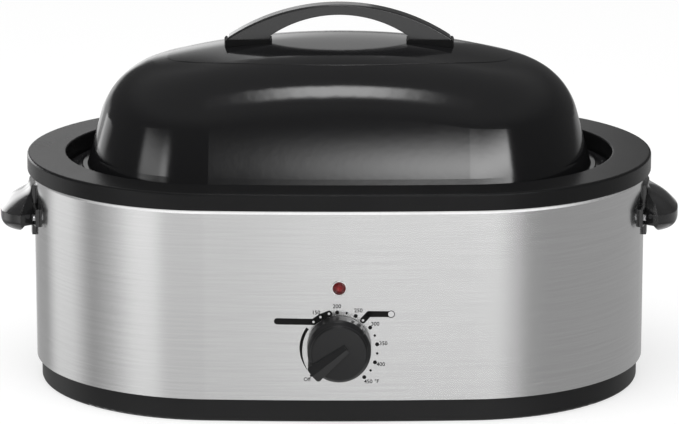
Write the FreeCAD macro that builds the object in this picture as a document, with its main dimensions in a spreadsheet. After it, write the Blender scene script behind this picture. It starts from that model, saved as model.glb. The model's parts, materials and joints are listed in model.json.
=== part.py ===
"""Countertop electric roaster oven: oval casing, lift-out pan and rack, lift-off lid, dial.

Millimetres, +Z up, -Y to the front, +X to the right. The origin is the middle of the
underside, on the surface that the oven stands on. Every plan outline is the rim's oval
moved inwards by an "inset": four arcs that meet on a tangent.
"""
import FreeCAD, Part
import math
import os
import re
import Sketcher
from FreeCAD import Placement, Rotation, Vector

SIZES = (
    # plan of the rim
    ("half_length", 281.5, "middle of the oven to the end of the rim"),
    ("half_depth", 175.9, "middle of the oven to the front of the rim"),
    ("side_bow", 3.0, "how far the long sides bow out beyond the end arcs"),
    # clearances
    ("seat_gap", 0.3, "between parts that lift off each other"),
    ("slack", 0.6, "around sheet metal that drops into place"),
    ("fit_gap", 0.05, "radial, around a shaft or a screw"),
    # base
    ("base_inset", 10.4, "rim outline to the base skirt"),
    ("base_height", 21.3, "table to the deck under the steel wrap"),
    ("base_wall", 3.0, "base skirt wall"),
    ("deck_sheet", 2.5, "thickness of the base deck"),
    ("deck_inset", 34.0, "rim outline to the deck's inner edge"),
    ("plate_level", 8.0, "underside of the bottom plate"),
    ("plate_sheet", 1.2, "bottom plate"),
    ("plate_slot", 60.0, "length of a cooling slot"),
    ("slot_pitch", 18.0, "from slot to slot"),
    ("foot_radius", 10.0, "rubber foot"),
    ("foot_x", 150.0, "middle to foot"),
    ("foot_y", 95.0, "middle to foot"),
    ("boss_radius", 5.0, "screw bosses of base and rim"),
    ("boss_inset", 20.0, "rim outline to the screw bosses"),
    # steel wrap
    ("steel_inset", 5.9, "rim outline to the steel wrap"),
    ("steel_sheet", 0.6, "steel wrap"),
    ("steel_hem", 5.0, "hem turned in over the deck"),
    ("bead_depth", 0.7, "bright bead under the rim"),
    ("bead_height", 1.8, "bright bead under the rim"),
    # rim
    ("rim_bottom", 192.4, "table to the rim's lower edge"),
    ("rim_height", 15.6, "rim band"),
    ("rim_width", 32.5, "rim's flat top"),
    ("rim_wall", 2.5, "rim moulding"),
    ("recess_depth", 17.5, "rim top to the ledge that carries the well and pan"),
    ("ledge_width", 14.5, "ledge inside the rim"),
    ("steel_tuck", 5.6, "steel wrap's reach up inside the rim"),
    # heating well
    ("liner_sheet", 0.8, "heating well"),
    ("liner_floor", 40.0, "table to the well's underside"),
    ("liner_flange", 7.0, "well's flange on the ledge"),
    ("liner_round", 12.0, "radius round the well's floor"),
    ("heater_gap", 14.0, "sensing bulb's axis to the heating band's lower edge"),
    ("heater_height", 46.0, "heating band"),
    ("heater_sheet", 2.6, "heating band"),
    ("heater_break", 26.0, "gap between the band's ends, at the back"),
    ("blanket_inset", 30.0, "rim outline to the insulation"),
    ("blanket_drop", 12.5, "ledge to the top of the insulation"),
    ("blanket_gap", 2.4, "heating band to the insulation, room for the clips"),
    ("clip_sheet", 0.8, "spring clips and the bulb's strap"),
    ("clip_gap", 0.4, "heating band to the clip's leaf"),
    ("clip_width", 10.0, "spring clip"),
    ("clip_end_gap", 12.6, "last clip back from the end arc's centre"),
    ("clip_side", 32.0, "middle to the inner clips"),
    ("tray_gap", 12.0, "reflector tray to the well's underside"),
    ("tray_sheet", 0.6, "reflector tray"),
    ("tray_lip", 18.0, "upstand of the reflector tray"),
    # roasting pan and rack
    ("pan_rim_inset", 38.0, "rim outline to the pan's edge"),
    ("pan_inset", 52.0, "rim outline to the pan's wall"),
    ("pan_sheet", 1.0, "pan wall"),
    ("pan_gap", 7.2, "well's floor to the pan's underside"),
    ("pan_draft", 3.0, "pan wall's taper, degrees"),
    ("pan_round", 13.0, "radius round the pan's floor"),
    ("pan_bead", 1.5, "turned edge of the pan"),
    ("rack_margin", 1.5, "rack's frame beyond the flat of the pan's floor"),
    ("rack_lift", 14.0, "pan floor to the rack's wires"),
    ("frame_wire", 2.4, "radius of the rack's frame and handles"),
    ("cross_wire", 1.6, "radius of the rack's cross wires"),
    ("wire_pitch", 26.0, "from cross wire to cross wire"),
    ("rack_grip_width", 92.0, "rack handle"),
    ("rack_grip_drop", 42.6, "pan's rim down to the top of the rack handle"),
    ("rack_grip_round", 14.0, "bend of the rack handle"),
    # lid
    ("lid_edge_inset", 44.5, "rim outline to the lid's edge"),
    ("lid_step_inset", 49.5, "rim outline to the step round the lid"),
    ("dome_inset", 54.2, "rim outline to the foot of the dome"),
    ("lid_sheet", 0.9, "lid wall"),
    ("lid_step", 2.6, "step round the lid"),
    ("lid_lip", 7.0, "ring that hangs inside the pan"),
    ("dome_height", 113.4, "foot of the dome to the crown"),
    ("dome_draft", 15.5, "dome wall's lean, degrees"),
    ("crown_length_radius", 720.0, "crown, along the oven"),
    ("crown_depth_radius", 333.0, "crown, across the oven"),
    ("shoulder_radius", 64.0, "between wall and crown"),
    ("plateau_length", 155.0, "middle to the end of the raised crown"),
    ("plateau_width", 71.0, "middle to the front of the raised crown"),
    ("plateau_rise", 0.5, "step round the raised crown"),
    # lid handle
    ("grip_rise", 32.0, "lid handle's foot to its top"),
    ("grip_sink", 0.5, "crown down to the handle's foot"),
    ("grip_half_length", 100.6, "middle to the end of the handle's foot"),
    ("grip_leg", 62.0, "middle to the inner face of the leg"),
    ("grip_thick", 9.2, "lid handle at the middle of its arch"),
    ("grip_ankle", 3.5, "height of a leg's upright inner face"),
    ("grip_depth", 17.0, "lid handle, front to back"),
    ("grip_edge", 1.6, "bevel along the handle"),
    ("pad_margin", 1.4, "heat pad's edge beyond the foot"),
    ("grip_screw_radius", 2.0, "screw through the lid"),
    ("grip_screw_x", 82.0, "middle to the lid screw"),
    ("washer_radius", 7.0, "washer inside the lid"),
    ("washer_sheet", 1.2, "washer inside the lid"),
    # side handles
    ("ear_reach", 25.0, "rim outline to the outermost point of a side handle"),
    ("ear_drop", 11.4, "rim's lower edge down to the top of the hood"),
    ("ear_hood", 24.0, "height of the hood above its edge"),
    ("ear_lip", 15.5, "height of the lip below the hood's edge"),
    ("ear_half_width", 47.3, "middle to the handle's corner"),
    ("ear_shoulder", 22.8, "middle to the end of the handle's flat front"),
    ("ear_wall", 3.2, "handle moulding"),
    ("ear_round", 9.0, "radius under the lip"),
    ("bracket_sheet", 3.3, "mounting plate behind the handle"),
    ("bracket_drop", 6.0, "handle's lower edge down to the plate's foot"),
    ("bracket_half_width", 30.0, "middle to the edge of the plate's foot"),
    ("tab_half_width", 49.0, "middle to the end of the plate's tab"),
    ("tab_rise", 5.5, "handle's lower edge up to the underside of a tab"),
    ("tab_height", 16.0, "tab that carries the screws"),
    ("tab_screw", 2.0, "radius of a tab's screw"),
    ("tab_screw_side", 43.786, "middle of the handle to a tab's screw"),
    # dial, lamp and control
    ("dial_level", 70.1, "table to the dial's axis"),
    ("dial_lean", 51.0, "pointer from straight down when off, degrees"),
    ("knob_radius", 28.0, "knob skirt"),
    ("knob_depth", 25.0, "steel to the knob's face"),
    ("knob_gap", 0.9, "steel to the knob's skirt"),
    ("knob_wall", 2.6, "knob skirt wall"),
    ("hub_radius", 6.6, "knob hub"),
    ("pointer_reach", 30.0, "dial axis to the end of the pointer"),
    ("pointer_tail", 8.5, "dial axis to the pointer's narrow end"),
    ("pointer_tail_half", 4.0, "half the pointer's narrow end"),
    ("pointer_tip_half", 8.2, "half the pointer's wide end"),
    ("pointer_height", 28.8, "steel to the pointer's crest"),
    ("shaft_radius", 3.0, "dial shaft"),
    ("shaft_flat", 2.4, "axis to the flat on the shaft"),
    ("bush_radius", 4.9, "threaded bush of the thermostat"),
    ("nut_radius", 8.6, "nut on the bush, to its corners"),
    ("nut_height", 2.5, "nut on the bush"),
    ("control_width", 34.0, "thermostat body"),
    ("control_depth", 15.0, "thermostat body"),
    ("control_height", 38.0, "thermostat body"),
    ("mount_sheet", 1.2, "thermostat bracket"),
    ("bulb_radius", 3.0, "sensing bulb"),
    ("bulb_length", 60.0, "sensing bulb"),
    ("bulb_rise", 4.0, "top of the well's lower round to the bulb's axis"),
    ("capillary_radius", 0.9, "tube to the sensing bulb"),
    ("lamp_level", 122.8, "table to the lamp"),
    ("lamp_radius", 4.2, "lamp lens"),
    ("bezel_width", 1.3, "ring round the lens"),
    ("lamp_length", 20.0, "lamp holder behind the steel"),
    ("window_half_width", 48.0, "gap in the insulation behind the dial"),
    ("window_rise", 17.2, "lamp's axis up to the top of the gap in the insulation"),
    # mains side
    ("gland_level", 46.0, "table to the cord gland"),
    ("gland_radius", 9.5, "gland flange"),
    ("gland_neck", 6.8, "gland neck through the steel"),
    ("gland_bore", 3.6, "bore for the mains lead"),
    ("gland_out", 11.0, "gland's reach behind the steel"),
    ("gland_in", 9.0, "gland's reach inside the steel"),
    ("block_x", 36.0, "middle to the terminal block"),
    ("block_length", 36.0, "terminal block"),
    ("block_depth", 13.0, "terminal block"),
    ("block_height", 15.0, "terminal block"),
)

DERIVED = (
    ("end_radius", "half_depth - side_bow"),
    ("end_centre", "half_length - end_radius"),
    ("front_radius", "(end_centre^2 + half_depth^2 - end_radius^2) / (2 * side_bow)"),
    ("front_centre", "front_radius - half_depth"),
    ("steel_front", "half_depth - steel_inset"),
    ("steel_inside", "steel_inset + steel_sheet"),
    ("rim_top", "rim_bottom + rim_height"),
    ("ledge_top", "rim_top - recess_depth"),
    ("ledge_inset", "rim_width + ledge_width"),
    ("tray_level", "liner_floor - tray_gap"),
    ("blanket_top", "ledge_top - blanket_drop"),
    ("window_top", "lamp_level + window_rise"),
    ("bulb_level", "liner_floor + liner_round + bulb_rise"),
    ("heater_level", "bulb_level + heater_gap"),
    ("pan_floor", "liner_floor + liner_sheet + pan_gap"),
    ("steel_top", "rim_bottom + steel_tuck"),
    ("liner_inset", "ledge_inset + slack"),
    ("liner_front", "half_depth - liner_inset"),
    ("heater_inset", "liner_inset - heater_sheet"),
    ("pan_seat", "ledge_top + liner_sheet + seat_gap"),
    ("pan_top", "pan_seat + pan_sheet"),
    ("pan_inside", "pan_floor + pan_sheet"),
    ("pan_flat", "pan_inset + (pan_top - pan_inside) * tan(pan_draft) + pan_round"),
    ("rack_inset", "pan_flat - rack_margin"),
    ("rack_level", "pan_inside + rack_lift"),
    ("rack_grip_top", "pan_top - rack_grip_drop"),
    ("lid_seat", "pan_top + seat_gap"),
    ("dome_base", "lid_seat + lid_sheet + lid_step"),
    ("dome_top", "dome_base + dome_height"),
    ("grip_seat", "dome_top + plateau_rise - grip_sink"),
    ("grip_top", "grip_seat + grip_rise"),
    ("grip_under", "grip_top - grip_thick"),
    ("arch_drop", "grip_under - grip_seat - grip_ankle"),
    ("ear_x", "half_length + ear_reach"),
    ("ear_top", "rim_bottom - ear_drop"),
    ("ear_crease", "ear_top - ear_hood"),
    ("ear_bottom", "ear_crease - ear_lip"),
    ("bracket_bottom", "ear_bottom - bracket_drop"),
    ("tab_bottom", "ear_bottom + tab_rise"),
    ("tab_top", "tab_bottom + tab_height"),
    ("tab_angle", "asin(tab_screw_side / (end_radius - steel_inset))"),
    ("plate_top", "plate_level + plate_sheet"),
    ("control_front", "steel_front - steel_sheet - slack"),
)

ALIASES = {entry[0] for entry in SIZES + DERIVED}
FRONT = Rotation(Vector(1, 0, 0), 90)      # a cylinder's own axis turned to -Y
BACK = Rotation(Vector(1, 0, 0), -90)      # ... to +Y
UPRIGHT = Rotation()
NEAR = 0.05                                # how close an edge lies to where it is looked for

doc = FreeCAD.newDocument("roaster_oven")
sheet = doc.addObject("Spreadsheet::Sheet", "Sizes")
nodes = {}


def bound(formula):
    """Give each alias in a formula its sheet, as an expression on another object needs."""
    return re.sub(r"[a-z]\w*", lambda word: f"Sizes.{word[0]}" if word[0] in ALIASES else word[0], formula)


def amount(formula):
    """Work a formula out with the sheet's present values."""
    return float(sheet.evalExpression(bound(formula)))


def fill_sheet():
    """Write the driving sizes and what follows from them into the sheet."""
    for row, (alias, value, meaning) in enumerate(SIZES, start=1):
        sheet.set(f"A{row}", meaning)
        sheet.set(f"B{row}", str(value))
        sheet.setAlias(f"B{row}", alias)
    for row, (alias, formula) in enumerate(DERIVED, start=len(SIZES) + 1):
        sheet.set(f"B{row}", f"={formula}")
        sheet.setAlias(f"B{row}", alias)
    doc.recompute()


def node(piece, label):
    """Name a finished sub-part, which names its file too."""
    piece.Label = label
    nodes[label] = piece
    return piece


def drive(item, **formulas):
    """Bind properties to formulas; Base_x stands for Placement.Base.x."""
    for name, formula in formulas.items():
        path = f".Placement.Base.{name[-1]}" if name.startswith("Base_") else name
        item.setExpression(path, bound(formula))
    return item


# --- sketches ---------------------------------------------------------------------------

def new_body(name):
    """Start a PartDesign body."""
    return doc.addObject("PartDesign::Body", name)


def sketch_on(body, role, level="0"):
    """Lay an empty sketch on one of the body's own planes, moved along its normal."""
    sketch = body.newObject("Sketcher::SketchObject", f"{body.Name}_sketch")
    plane = next(part for part in body.Origin.OriginFeatures if part.Role == role)
    sketch.AttachmentSupport = [(plane, "")]
    sketch.MapMode = "FlatFace"
    sketch.setExpression(".AttachmentOffset.Base.z", bound(level))
    return sketch


def dimension(sketch, constraint, formula):
    """Add a dimension that follows a formula."""
    index = sketch.addConstraint(constraint)
    sketch.setExpression(f"Constraints[{index}]", bound(formula))


def add_oval(sketch, inset):
    """Draw the rim's outline moved inwards: end, back, end and front arc, all tangent."""
    first = sketch.GeometryCount
    end_radius = amount(f"end_radius - ({inset})")
    front_radius = amount(f"front_radius - ({inset})")
    across, along = amount("end_centre"), amount("front_centre")
    join = math.atan2(along, across)
    arcs = (
        (Vector(across, 0, 0), end_radius, -join, join),
        (Vector(0, -along, 0), front_radius, join, math.pi - join),
        (Vector(-across, 0, 0), end_radius, math.pi - join, math.pi + join),
        (Vector(0, along, 0), front_radius, math.pi + join, 2 * math.pi - join),
    )
    for centre, radius, start, stop in arcs:
        sketch.addGeometry(Part.ArcOfCircle(Part.Circle(centre, Vector(0, 0, 1), radius), start, stop))
    right, back, left, front = range(first, first + 4)
    for arc, following in ((right, back), (back, left), (left, front), (front, right)):
        sketch.addConstraint(Sketcher.Constraint("Tangent", arc, 2, following, 1))
    for arc in (right, left):
        sketch.addConstraint(Sketcher.Constraint("PointOnObject", arc, 3, -1))
        dimension(sketch, Sketcher.Constraint("Radius", arc, end_radius), f"end_radius - ({inset})")
    dimension(sketch, Sketcher.Constraint("DistanceX", -1, 1, right, 3, across), "end_centre")
    dimension(sketch, Sketcher.Constraint("DistanceX", left, 3, -1, 1, across), "end_centre")
    dimension(sketch, Sketcher.Constraint("DistanceY", back, 3, -1, 1, along), "front_centre")
    dimension(sketch, Sketcher.Constraint("DistanceY", -1, 1, front, 3, along), "front_centre")


def arc_between(start, stop, radius):
    """Make the short arc from start to stop; a negative radius bulges to the other side."""
    half = (stop - start) * 0.5
    height = math.sqrt(max(radius * radius - half.Length ** 2, 0.0))
    side = Vector(-half.y, half.x, 0).normalize() * math.copysign(1, radius)
    centre = start + half + side * height
    middle = centre - side * abs(radius)
    return Part.Arc(start, middle, stop)


def add_outline(sketch, steps, closed=True):
    """Draw lines and arcs through steps of (x, y) or (x, y, radius), all as formulas."""
    points = [Vector(amount(step[0]), amount(step[1]), 0) for step in steps]
    first = sketch.GeometryCount
    count = len(steps) if closed else len(steps) - 1
    for place in range(count):
        goal = (place + 1) % len(steps)
        if len(steps[goal]) == 3:
            radius = amount(steps[goal][2])
            sketch.addGeometry(arc_between(points[place], points[goal], radius))
            ends = (1, 2) if radius > 0 else (2, 1)
            bend = Sketcher.Constraint("Radius", first + place, abs(radius))
            dimension(sketch, bend, f"abs({steps[goal][2]})")
        else:
            sketch.addGeometry(Part.LineSegment(points[place], points[goal]))
            ends = (1, 2)
        if place:
            meeting = (first + place - 1, last_end, first + place, ends[0])
            sketch.addConstraint(Sketcher.Constraint("Coincident", *meeting))
        else:
            first_end = ends[0]
        last_end = ends[1]
        fix_point(sketch, first + place, ends[0], steps[place])
    if closed:
        sketch.addConstraint(Sketcher.Constraint("Coincident", first + count - 1, last_end, first, first_end))
    else:
        fix_point(sketch, first + count - 1, last_end, steps[-1])


def fix_point(sketch, edge, end, step):
    """Hold one end of an edge at a place given by formulas."""
    for kind, formula in (("DistanceX", step[0]), ("DistanceY", step[1])):
        dimension(sketch, Sketcher.Constraint(kind, -1, 1, edge, end, amount(formula)), formula)


def add_circle(sketch, x, y, radius):
    """Draw a circle whose centre and radius follow formulas."""
    centre = Vector(amount(x), amount(y), 0)
    index = sketch.addGeometry(Part.Circle(centre, Vector(0, 0, 1), amount(radius)))
    dimension(sketch, Sketcher.Constraint("Radius", index, amount(radius)), radius)
    fix_point(sketch, index, 3, (x, y))


# --- features ---------------------------------------------------------------------------

def extrude(body, kind, sketch, length, reverse=False, taper=None, both_ways=False):
    """Add a Pad or Pocket of a sketch; a positive taper narrows it."""
    feature = body.newObject(f"PartDesign::{kind}", f"{body.Name}_{kind}")
    feature.Profile = sketch
    feature.Reversed = reverse
    feature.Midplane = both_ways
    feature.setExpression("Length", bound(length))
    if taper:
        feature.setExpression("TaperAngle", bound(f"-({taper})"))
    doc.recompute()
    return feature


def ring(body, outer, inner, bottom, height):
    """Add an oval band between two insets."""
    sketch = sketch_on(body, "XY_Plane", bottom)
    add_oval(sketch, outer)
    add_oval(sketch, inner)
    return extrude(body, "Pad", sketch, height)


def oval_pad(body, inset, bottom, height, taper=None, down=False):
    """Add a full oval block."""
    sketch = sketch_on(body, "XY_Plane", bottom)
    add_oval(sketch, inset)
    return extrude(body, "Pad", sketch, height, reverse=down, taper=taper)


def turn(body, kind, sketch, axis, angle=None):
    """Revolve a sketch about an axis of its body, or about its own construction line."""
    feature = body.newObject(f"PartDesign::{kind}", f"{body.Name}_{kind}")
    feature.Profile = sketch
    if angle:
        feature.ReferenceAxis = (sketch, ["Axis0"])
        feature.Angle = angle
        feature.Midplane = True
    else:
        feature.ReferenceAxis = (next(part for part in body.Origin.OriginFeatures if part.Role == axis), [""])
        feature.Angle = 360
    doc.recompute()
    return feature


def inset_at(point):
    """Measure how far inside the rim outline a point lies, in plan."""
    x, y = abs(point.x), abs(point.y)
    across, along = amount("end_centre"), amount("front_centre")
    if math.atan2(y + along, x) < math.atan2(along, across):
        return amount("end_radius") - math.hypot(x - across, y)
    return amount("front_radius") - math.hypot(x, y + along)


def edges_where(shape, test):
    """Name the edges whose two ends and middle all pass a test."""
    names = []
    for index, edge in enumerate(shape.Edges, start=1):
        low, high = edge.ParameterRange
        samples = [edge.valueAt(low + (high - low) * part) for part in (0.01, 0.5, 0.99)]
        if all(test(sample) for sample in samples):
            names.append(f"Edge{index}")
    return names


def soften(body, radius, test, kind="Fillet"):
    """Round or bevel the edges of the body's last feature that pass a test."""
    base = body.Tip
    feature = body.newObject(f"PartDesign::{kind}", f"{body.Name}_{kind}")
    feature.Base = (base, edges_where(base.Shape, test))
    feature.setExpression("Radius" if kind == "Fillet" else "Size", bound(radius))
    doc.recompute()
    return feature


def on_oval(inset, level):
    """Test for points on the outline at an inset and a level."""
    inset, level = amount(inset), amount(level)
    return lambda point: abs(point.z - level) < NEAR and abs(inset_at(point) - inset) < NEAR


# --- primitives -------------------------------------------------------------------------

def cylinder(name, radius, height, x="0", y="0", z="0", turned=UPRIGHT):
    """Place a cylinder; turned sets the way its axis points."""
    piece = doc.addObject("Part::Cylinder", name)
    piece.Placement = Placement(Vector(), turned)
    return drive(piece, Radius=radius, Height=height, Base_x=x, Base_y=y, Base_z=z)


def box(name, length, width, height, x="0", y="0", z="0"):
    """Place a box by its lowest corner."""
    piece = doc.addObject("Part::Box", name)
    return drive(piece, Length=length, Width=width, Height=height, Base_x=x, Base_y=y, Base_z=z)


def fuse(name, pieces):
    """Join overlapping pieces into one solid."""
    joined = doc.addObject("Part::MultiFuse", name)
    joined.Shapes = pieces
    return joined


def group(name, pieces):
    """Hold separate solids in one node."""
    held = doc.addObject("Part::Compound", name)
    held.Links = pieces
    return held


def combine(kind, name, base, tool):
    """Cut or intersect two pieces."""
    made = doc.addObject(f"Part::{kind}", name)
    made.Base = base
    made.Tool = tool
    return made


def mirrored(piece, name):
    """Mirror a right-hand piece to the left end."""
    other = doc.addObject("Part::Mirroring", name)
    other.Source = piece
    other.Normal = Vector(1, 0, 0)
    return other


def round_end(inset, degrees):
    """Give x and y formulas of a point on the right end arc, at an inset and an angle."""
    reach = f"(end_radius - ({inset}))"
    return f"end_centre + {reach} * cos({degrees})", f"{reach} * sin({degrees})"


def around_ends(inset, angles):
    """List points on both end arcs: each angle, mirrored to the four corners."""
    places = []
    for degrees in angles:
        x, y = round_end(inset, degrees)
        ways = ((1, 1), (-1, 1), (-1, -1), (1, -1)) if degrees else ((1, 1), (-1, 1))
        places += [(f"{along} * ({x})", f"{across} * ({y})") for along, across in ways]
    return places


def half_width(inset, x):
    """Give a formula for half the oval's depth at a distance x along the oven."""
    if abs(amount(x)) < amount(f"end_centre * (front_radius - ({inset})) / (front_radius - end_radius)"):
        return f"(sqrt((front_radius - ({inset}))^2 - ({x})^2) - front_centre)"
    return f"sqrt((end_radius - ({inset}))^2 - (abs({x}) - end_centre)^2)"


# --- casing -----------------------------------------------------------------------------

TIE_ANGLE = 60
PLATE_SCREW_ANGLES = (0, 78)


def make_base():
    """Mould the base skirt with its deck and screw bosses."""
    body = new_body("base_skirt")
    ring(body, "base_inset", "base_inset + base_wall", "0", "base_height")
    ring(body, "base_inset", "deck_inset", "base_height - deck_sheet", "deck_sheet")
    soften(body, "2.5", on_oval("base_inset", "0"))
    sketch = sketch_on(body, "XY_Plane", "plate_top")
    for x, y in around_ends("boss_inset", PLATE_SCREW_ANGLES):
        add_circle(sketch, x, y, "boss_radius")
    extrude(body, "Pad", sketch, "base_height - plate_top")
    sketch = sketch_on(body, "XY_Plane", "plate_top")
    for x, y in around_ends("boss_inset", PLATE_SCREW_ANGLES):
        add_circle(sketch, x, y, "1.6")
    extrude(body, "Pocket", sketch, "8", reverse=True)
    sketch = sketch_on(body, "XY_Plane", "base_height + 1")
    for x, y in around_ends("boss_inset", (TIE_ANGLE,)):
        add_circle(sketch, x, y, "2.2")
    extrude(body, "Pocket", sketch, "deck_sheet + 2")
    node(body, "base_skirt")


def make_bottom_plate():
    """Press the bottom plate, with rows of cooling slots."""
    body = new_body("bottom_plate")
    oval_pad(body, "base_inset + base_wall + slack", "plate_level", "plate_sheet")
    sketch = sketch_on(body, "XY_Plane", "plate_level - 1")
    for x, y in around_ends("boss_inset", PLATE_SCREW_ANGLES):
        add_circle(sketch, x, y, "1.9")
    extrude(body, "Pocket", sketch, "plate_sheet + 2", reverse=True)
    sketch = sketch_on(body, "XY_Plane", "plate_level - 1")
    half = "plate_slot / 2"
    add_outline(sketch, (
        ("-4.5 * slot_pitch - 3", f"-({half})"),
        ("-4.5 * slot_pitch + 3", f"-({half})", "3.2"),
        ("-4.5 * slot_pitch + 3", half),
        ("-4.5 * slot_pitch - 3", half, "3.2"),
    ))
    slot = extrude(body, "Pocket", sketch, "plate_sheet + 2", reverse=True)
    row = body.newObject("PartDesign::LinearPattern", "slot_row")
    row.Originals = [slot]
    row.Direction = (next(part for part in body.Origin.OriginFeatures if part.Role == "X_Axis"), [""])
    row.Occurrences = 10
    row.setExpression("Length", bound("9 * slot_pitch"))
    body.Tip = row
    node(body, "bottom_plate")


def make_screw(name, radius, length, head_radius, head, x, y, z):
    """Make an upright screw with its head below; z is the underside that the head meets."""
    shank = cylinder(f"{name}_shank", radius, length, x, y, z)
    cap = cylinder(f"{name}_head", head_radius, head, x, y, f"{z} - {head}")
    return fuse(name, [shank, cap])


def make_base_hardware():
    """Make the feet, the plate screws and the rods that tie the rim to the base."""
    feet = []
    for along in (1, -1):
        for across in (1, -1):
            x, y = f"{along} * foot_x", f"{across} * foot_y"
            feet.append(cylinder("foot", "foot_radius", "plate_level", x, y, "0"))
    node(group("feet", feet), "rubber_feet")
    screws = []
    for x, y in around_ends("boss_inset", PLATE_SCREW_ANGLES):
        screws.append(make_screw("plate_screw", "1.55", "7.5", "3.4", "2", x, y, "plate_level"))
    node(group("plate_screws", screws), "bottom_screws")
    rods = []
    for x, y in around_ends("boss_inset", (TIE_ANGLE,)):
        length = "rim_top - rim_wall - 2 - base_height + deck_sheet"
        rods.append(make_screw("tie_rod", "2.0", length, "4.0", "2.5",
                               x, y, "base_height - deck_sheet"))
    node(group("rods", rods), "tie_rods")


def make_wrap():
    """Roll the brushed steel wrap: wall, turned hem, bright bead and its openings."""
    body = new_body("body_shell")
    ring(body, "steel_inset", "steel_inside", "base_height", "steel_top - base_height")
    ring(body, "steel_inset", "steel_inside + steel_hem", "base_height", "steel_sheet")
    bead_level = "rim_bottom - seat_gap - bead_height"
    ring(body, "steel_inset - bead_depth", "steel_inside", bead_level, "bead_height")
    bead_top = "rim_bottom - seat_gap"
    soften(body, "0.5", lambda point: on_oval("steel_inset - bead_depth", bead_top)(point)
           or on_oval("steel_inset - bead_depth", f"{bead_top} - bead_height")(point))
    sketch = sketch_on(body, "XZ_Plane", "half_depth")
    add_circle(sketch, "0", "dial_level", "bush_radius + fit_gap")
    add_circle(sketch, "0", "lamp_level", "lamp_radius + fit_gap")
    extrude(body, "Pocket", sketch, "20")
    sketch = sketch_on(body, "XZ_Plane", "-half_depth")
    add_circle(sketch, "0", "gland_level", "gland_neck + fit_gap")
    extrude(body, "Pocket", sketch, "20", reverse=True)
    holes = fuse("wrap_holes", tab_cylinders("2.1", "6", "steel_inside + 3", (1, -1)))
    node(combine("Cut", "wrap_drilled", body, holes), "body_shell")


def make_rim():
    """Mould the rim: band, flat top, recess wall, ledge, steel seat and rod bosses."""
    body = new_body("rim_ring")
    ring(body, "0", "rim_wall", "rim_bottom", "rim_height")
    ring(body, "0", "rim_width + rim_wall", "rim_top - rim_wall", "rim_wall")
    ring(body, "0", "steel_inset - seat_gap", "rim_bottom", "rim_wall")
    ring(body, "steel_inset - 1", "steel_inside + 1", "steel_top", "rim_top - steel_top")
    ring(body, "rim_width", "rim_width + rim_wall", "ledge_top - rim_wall", "recess_depth + rim_wall")
    ring(body, "rim_width", "ledge_inset", "ledge_top - rim_wall", "rim_wall")
    soften(body, "2.0", on_oval("0", "rim_top"))
    soften(body, "1.2", on_oval("rim_width + rim_wall", "rim_top"))
    soften(body, "0.8", on_oval("0", "rim_bottom"))
    places = around_ends("boss_inset", (TIE_ANGLE,))
    sketch = sketch_on(body, "XY_Plane", "steel_top")
    for x, y in places:
        add_circle(sketch, x, y, "boss_radius")
    extrude(body, "Pad", sketch, "rim_top - rim_wall - steel_top")
    sketch = sketch_on(body, "XY_Plane", "steel_top")
    for x, y in places:
        add_circle(sketch, x, y, "2.0 + fit_gap")
    extrude(body, "Pocket", sketch, "rim_top - rim_wall - 1.5 - steel_top", reverse=True)
    node(body, "rim_ring")


def make_liner():
    """Draw the heating well: flange, wall and rounded floor."""
    body = new_body("heating_well")
    oval_pad(body, "liner_inset", "liner_floor", "ledge_top + liner_sheet - liner_floor")
    ring(body, "ledge_inset - liner_flange", "liner_inset + liner_sheet", "ledge_top", "liner_sheet")
    sketch = sketch_on(body, "XY_Plane", "ledge_top + liner_sheet")
    add_oval(sketch, "liner_inset + liner_sheet")
    extrude(body, "Pocket", sketch, "ledge_top - liner_floor")
    inner_edge = on_oval("liner_inset + liner_sheet", "liner_floor + liner_sheet")
    soften(body, "liner_round - liner_sheet", inner_edge)
    soften(body, "liner_round", on_oval("liner_inset", "liner_floor"))
    node(body, "heating_well")


def make_heating():
    """Wrap the heating band round the well, with its terminals at the back and its clips."""
    body = new_body("heating_band")
    ring(body, "heater_inset", "liner_inset", "heater_level", "heater_height")
    sketch = sketch_on(body, "XZ_Plane", "-half_depth")
    add_outline(sketch, (
        ("-heater_break / 2", "heater_level - 1"),
        ("heater_break / 2", "heater_level - 1"),
        ("heater_break / 2", "heater_level + heater_height + 1"),
        ("-heater_break / 2", "heater_level + heater_height + 1"),
    ))
    extrude(body, "Pocket", sketch, "half_depth", reverse=True)
    sketch = sketch_on(body, "XZ_Plane", "-liner_front - heater_sheet + 0.5")
    for side in ("-1", "1"):
        middle = f"{side} * (heater_break / 2 + 7)"
        add_outline(sketch, (
            (f"{middle} - 3.2", "heater_level + heater_height / 2 - 4"),
            (f"{middle} + 3.2", "heater_level + heater_height / 2 - 4"),
            (f"{middle} + 3.2", "heater_level + heater_height / 2 + 4"),
            (f"{middle} - 3.2", "heater_level + heater_height / 2 + 4"),
        ))
    extrude(body, "Pad", sketch, "9", reverse=True)
    node(body, "heating_band")

    clips = []
    for x in ("-(end_centre - clip_end_gap)", "-clip_side", "clip_side", "(end_centre - clip_end_gap)"):
        for side in (-1, 1):
            if side > 0 or amount(f"abs({x})") > amount("bulb_length / 2 + 10"):
                clips.append(make_clip(x, side))
    node(group("clips", clips), "band_clips")


def make_clip(x, side):
    """Fold one spring clip over the heating band's lower edge, on the well's long wall."""
    near_end = f"(abs({x}) - clip_width / 2)"
    wall = f"{side} * ({half_width('liner_inset', near_end)} + fit_gap)"
    depth = "(heater_sheet + clip_gap + clip_sheet)"
    shelf_y = wall if side > 0 else f"{wall} - {depth}"
    leaf_y = f"{wall} + heater_sheet + clip_gap" if side > 0 else f"{wall} - {depth}"
    left, low = f"{x} - clip_width / 2", "heater_level - clip_sheet"
    shelf = box("clip_shelf", "clip_width", depth, "clip_sheet", left, shelf_y, low)
    leaf = box("clip_leaf", "clip_width", "clip_sheet", "heater_height / 2", left, leaf_y, low)
    return fuse("clip", [shelf, leaf])


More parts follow.
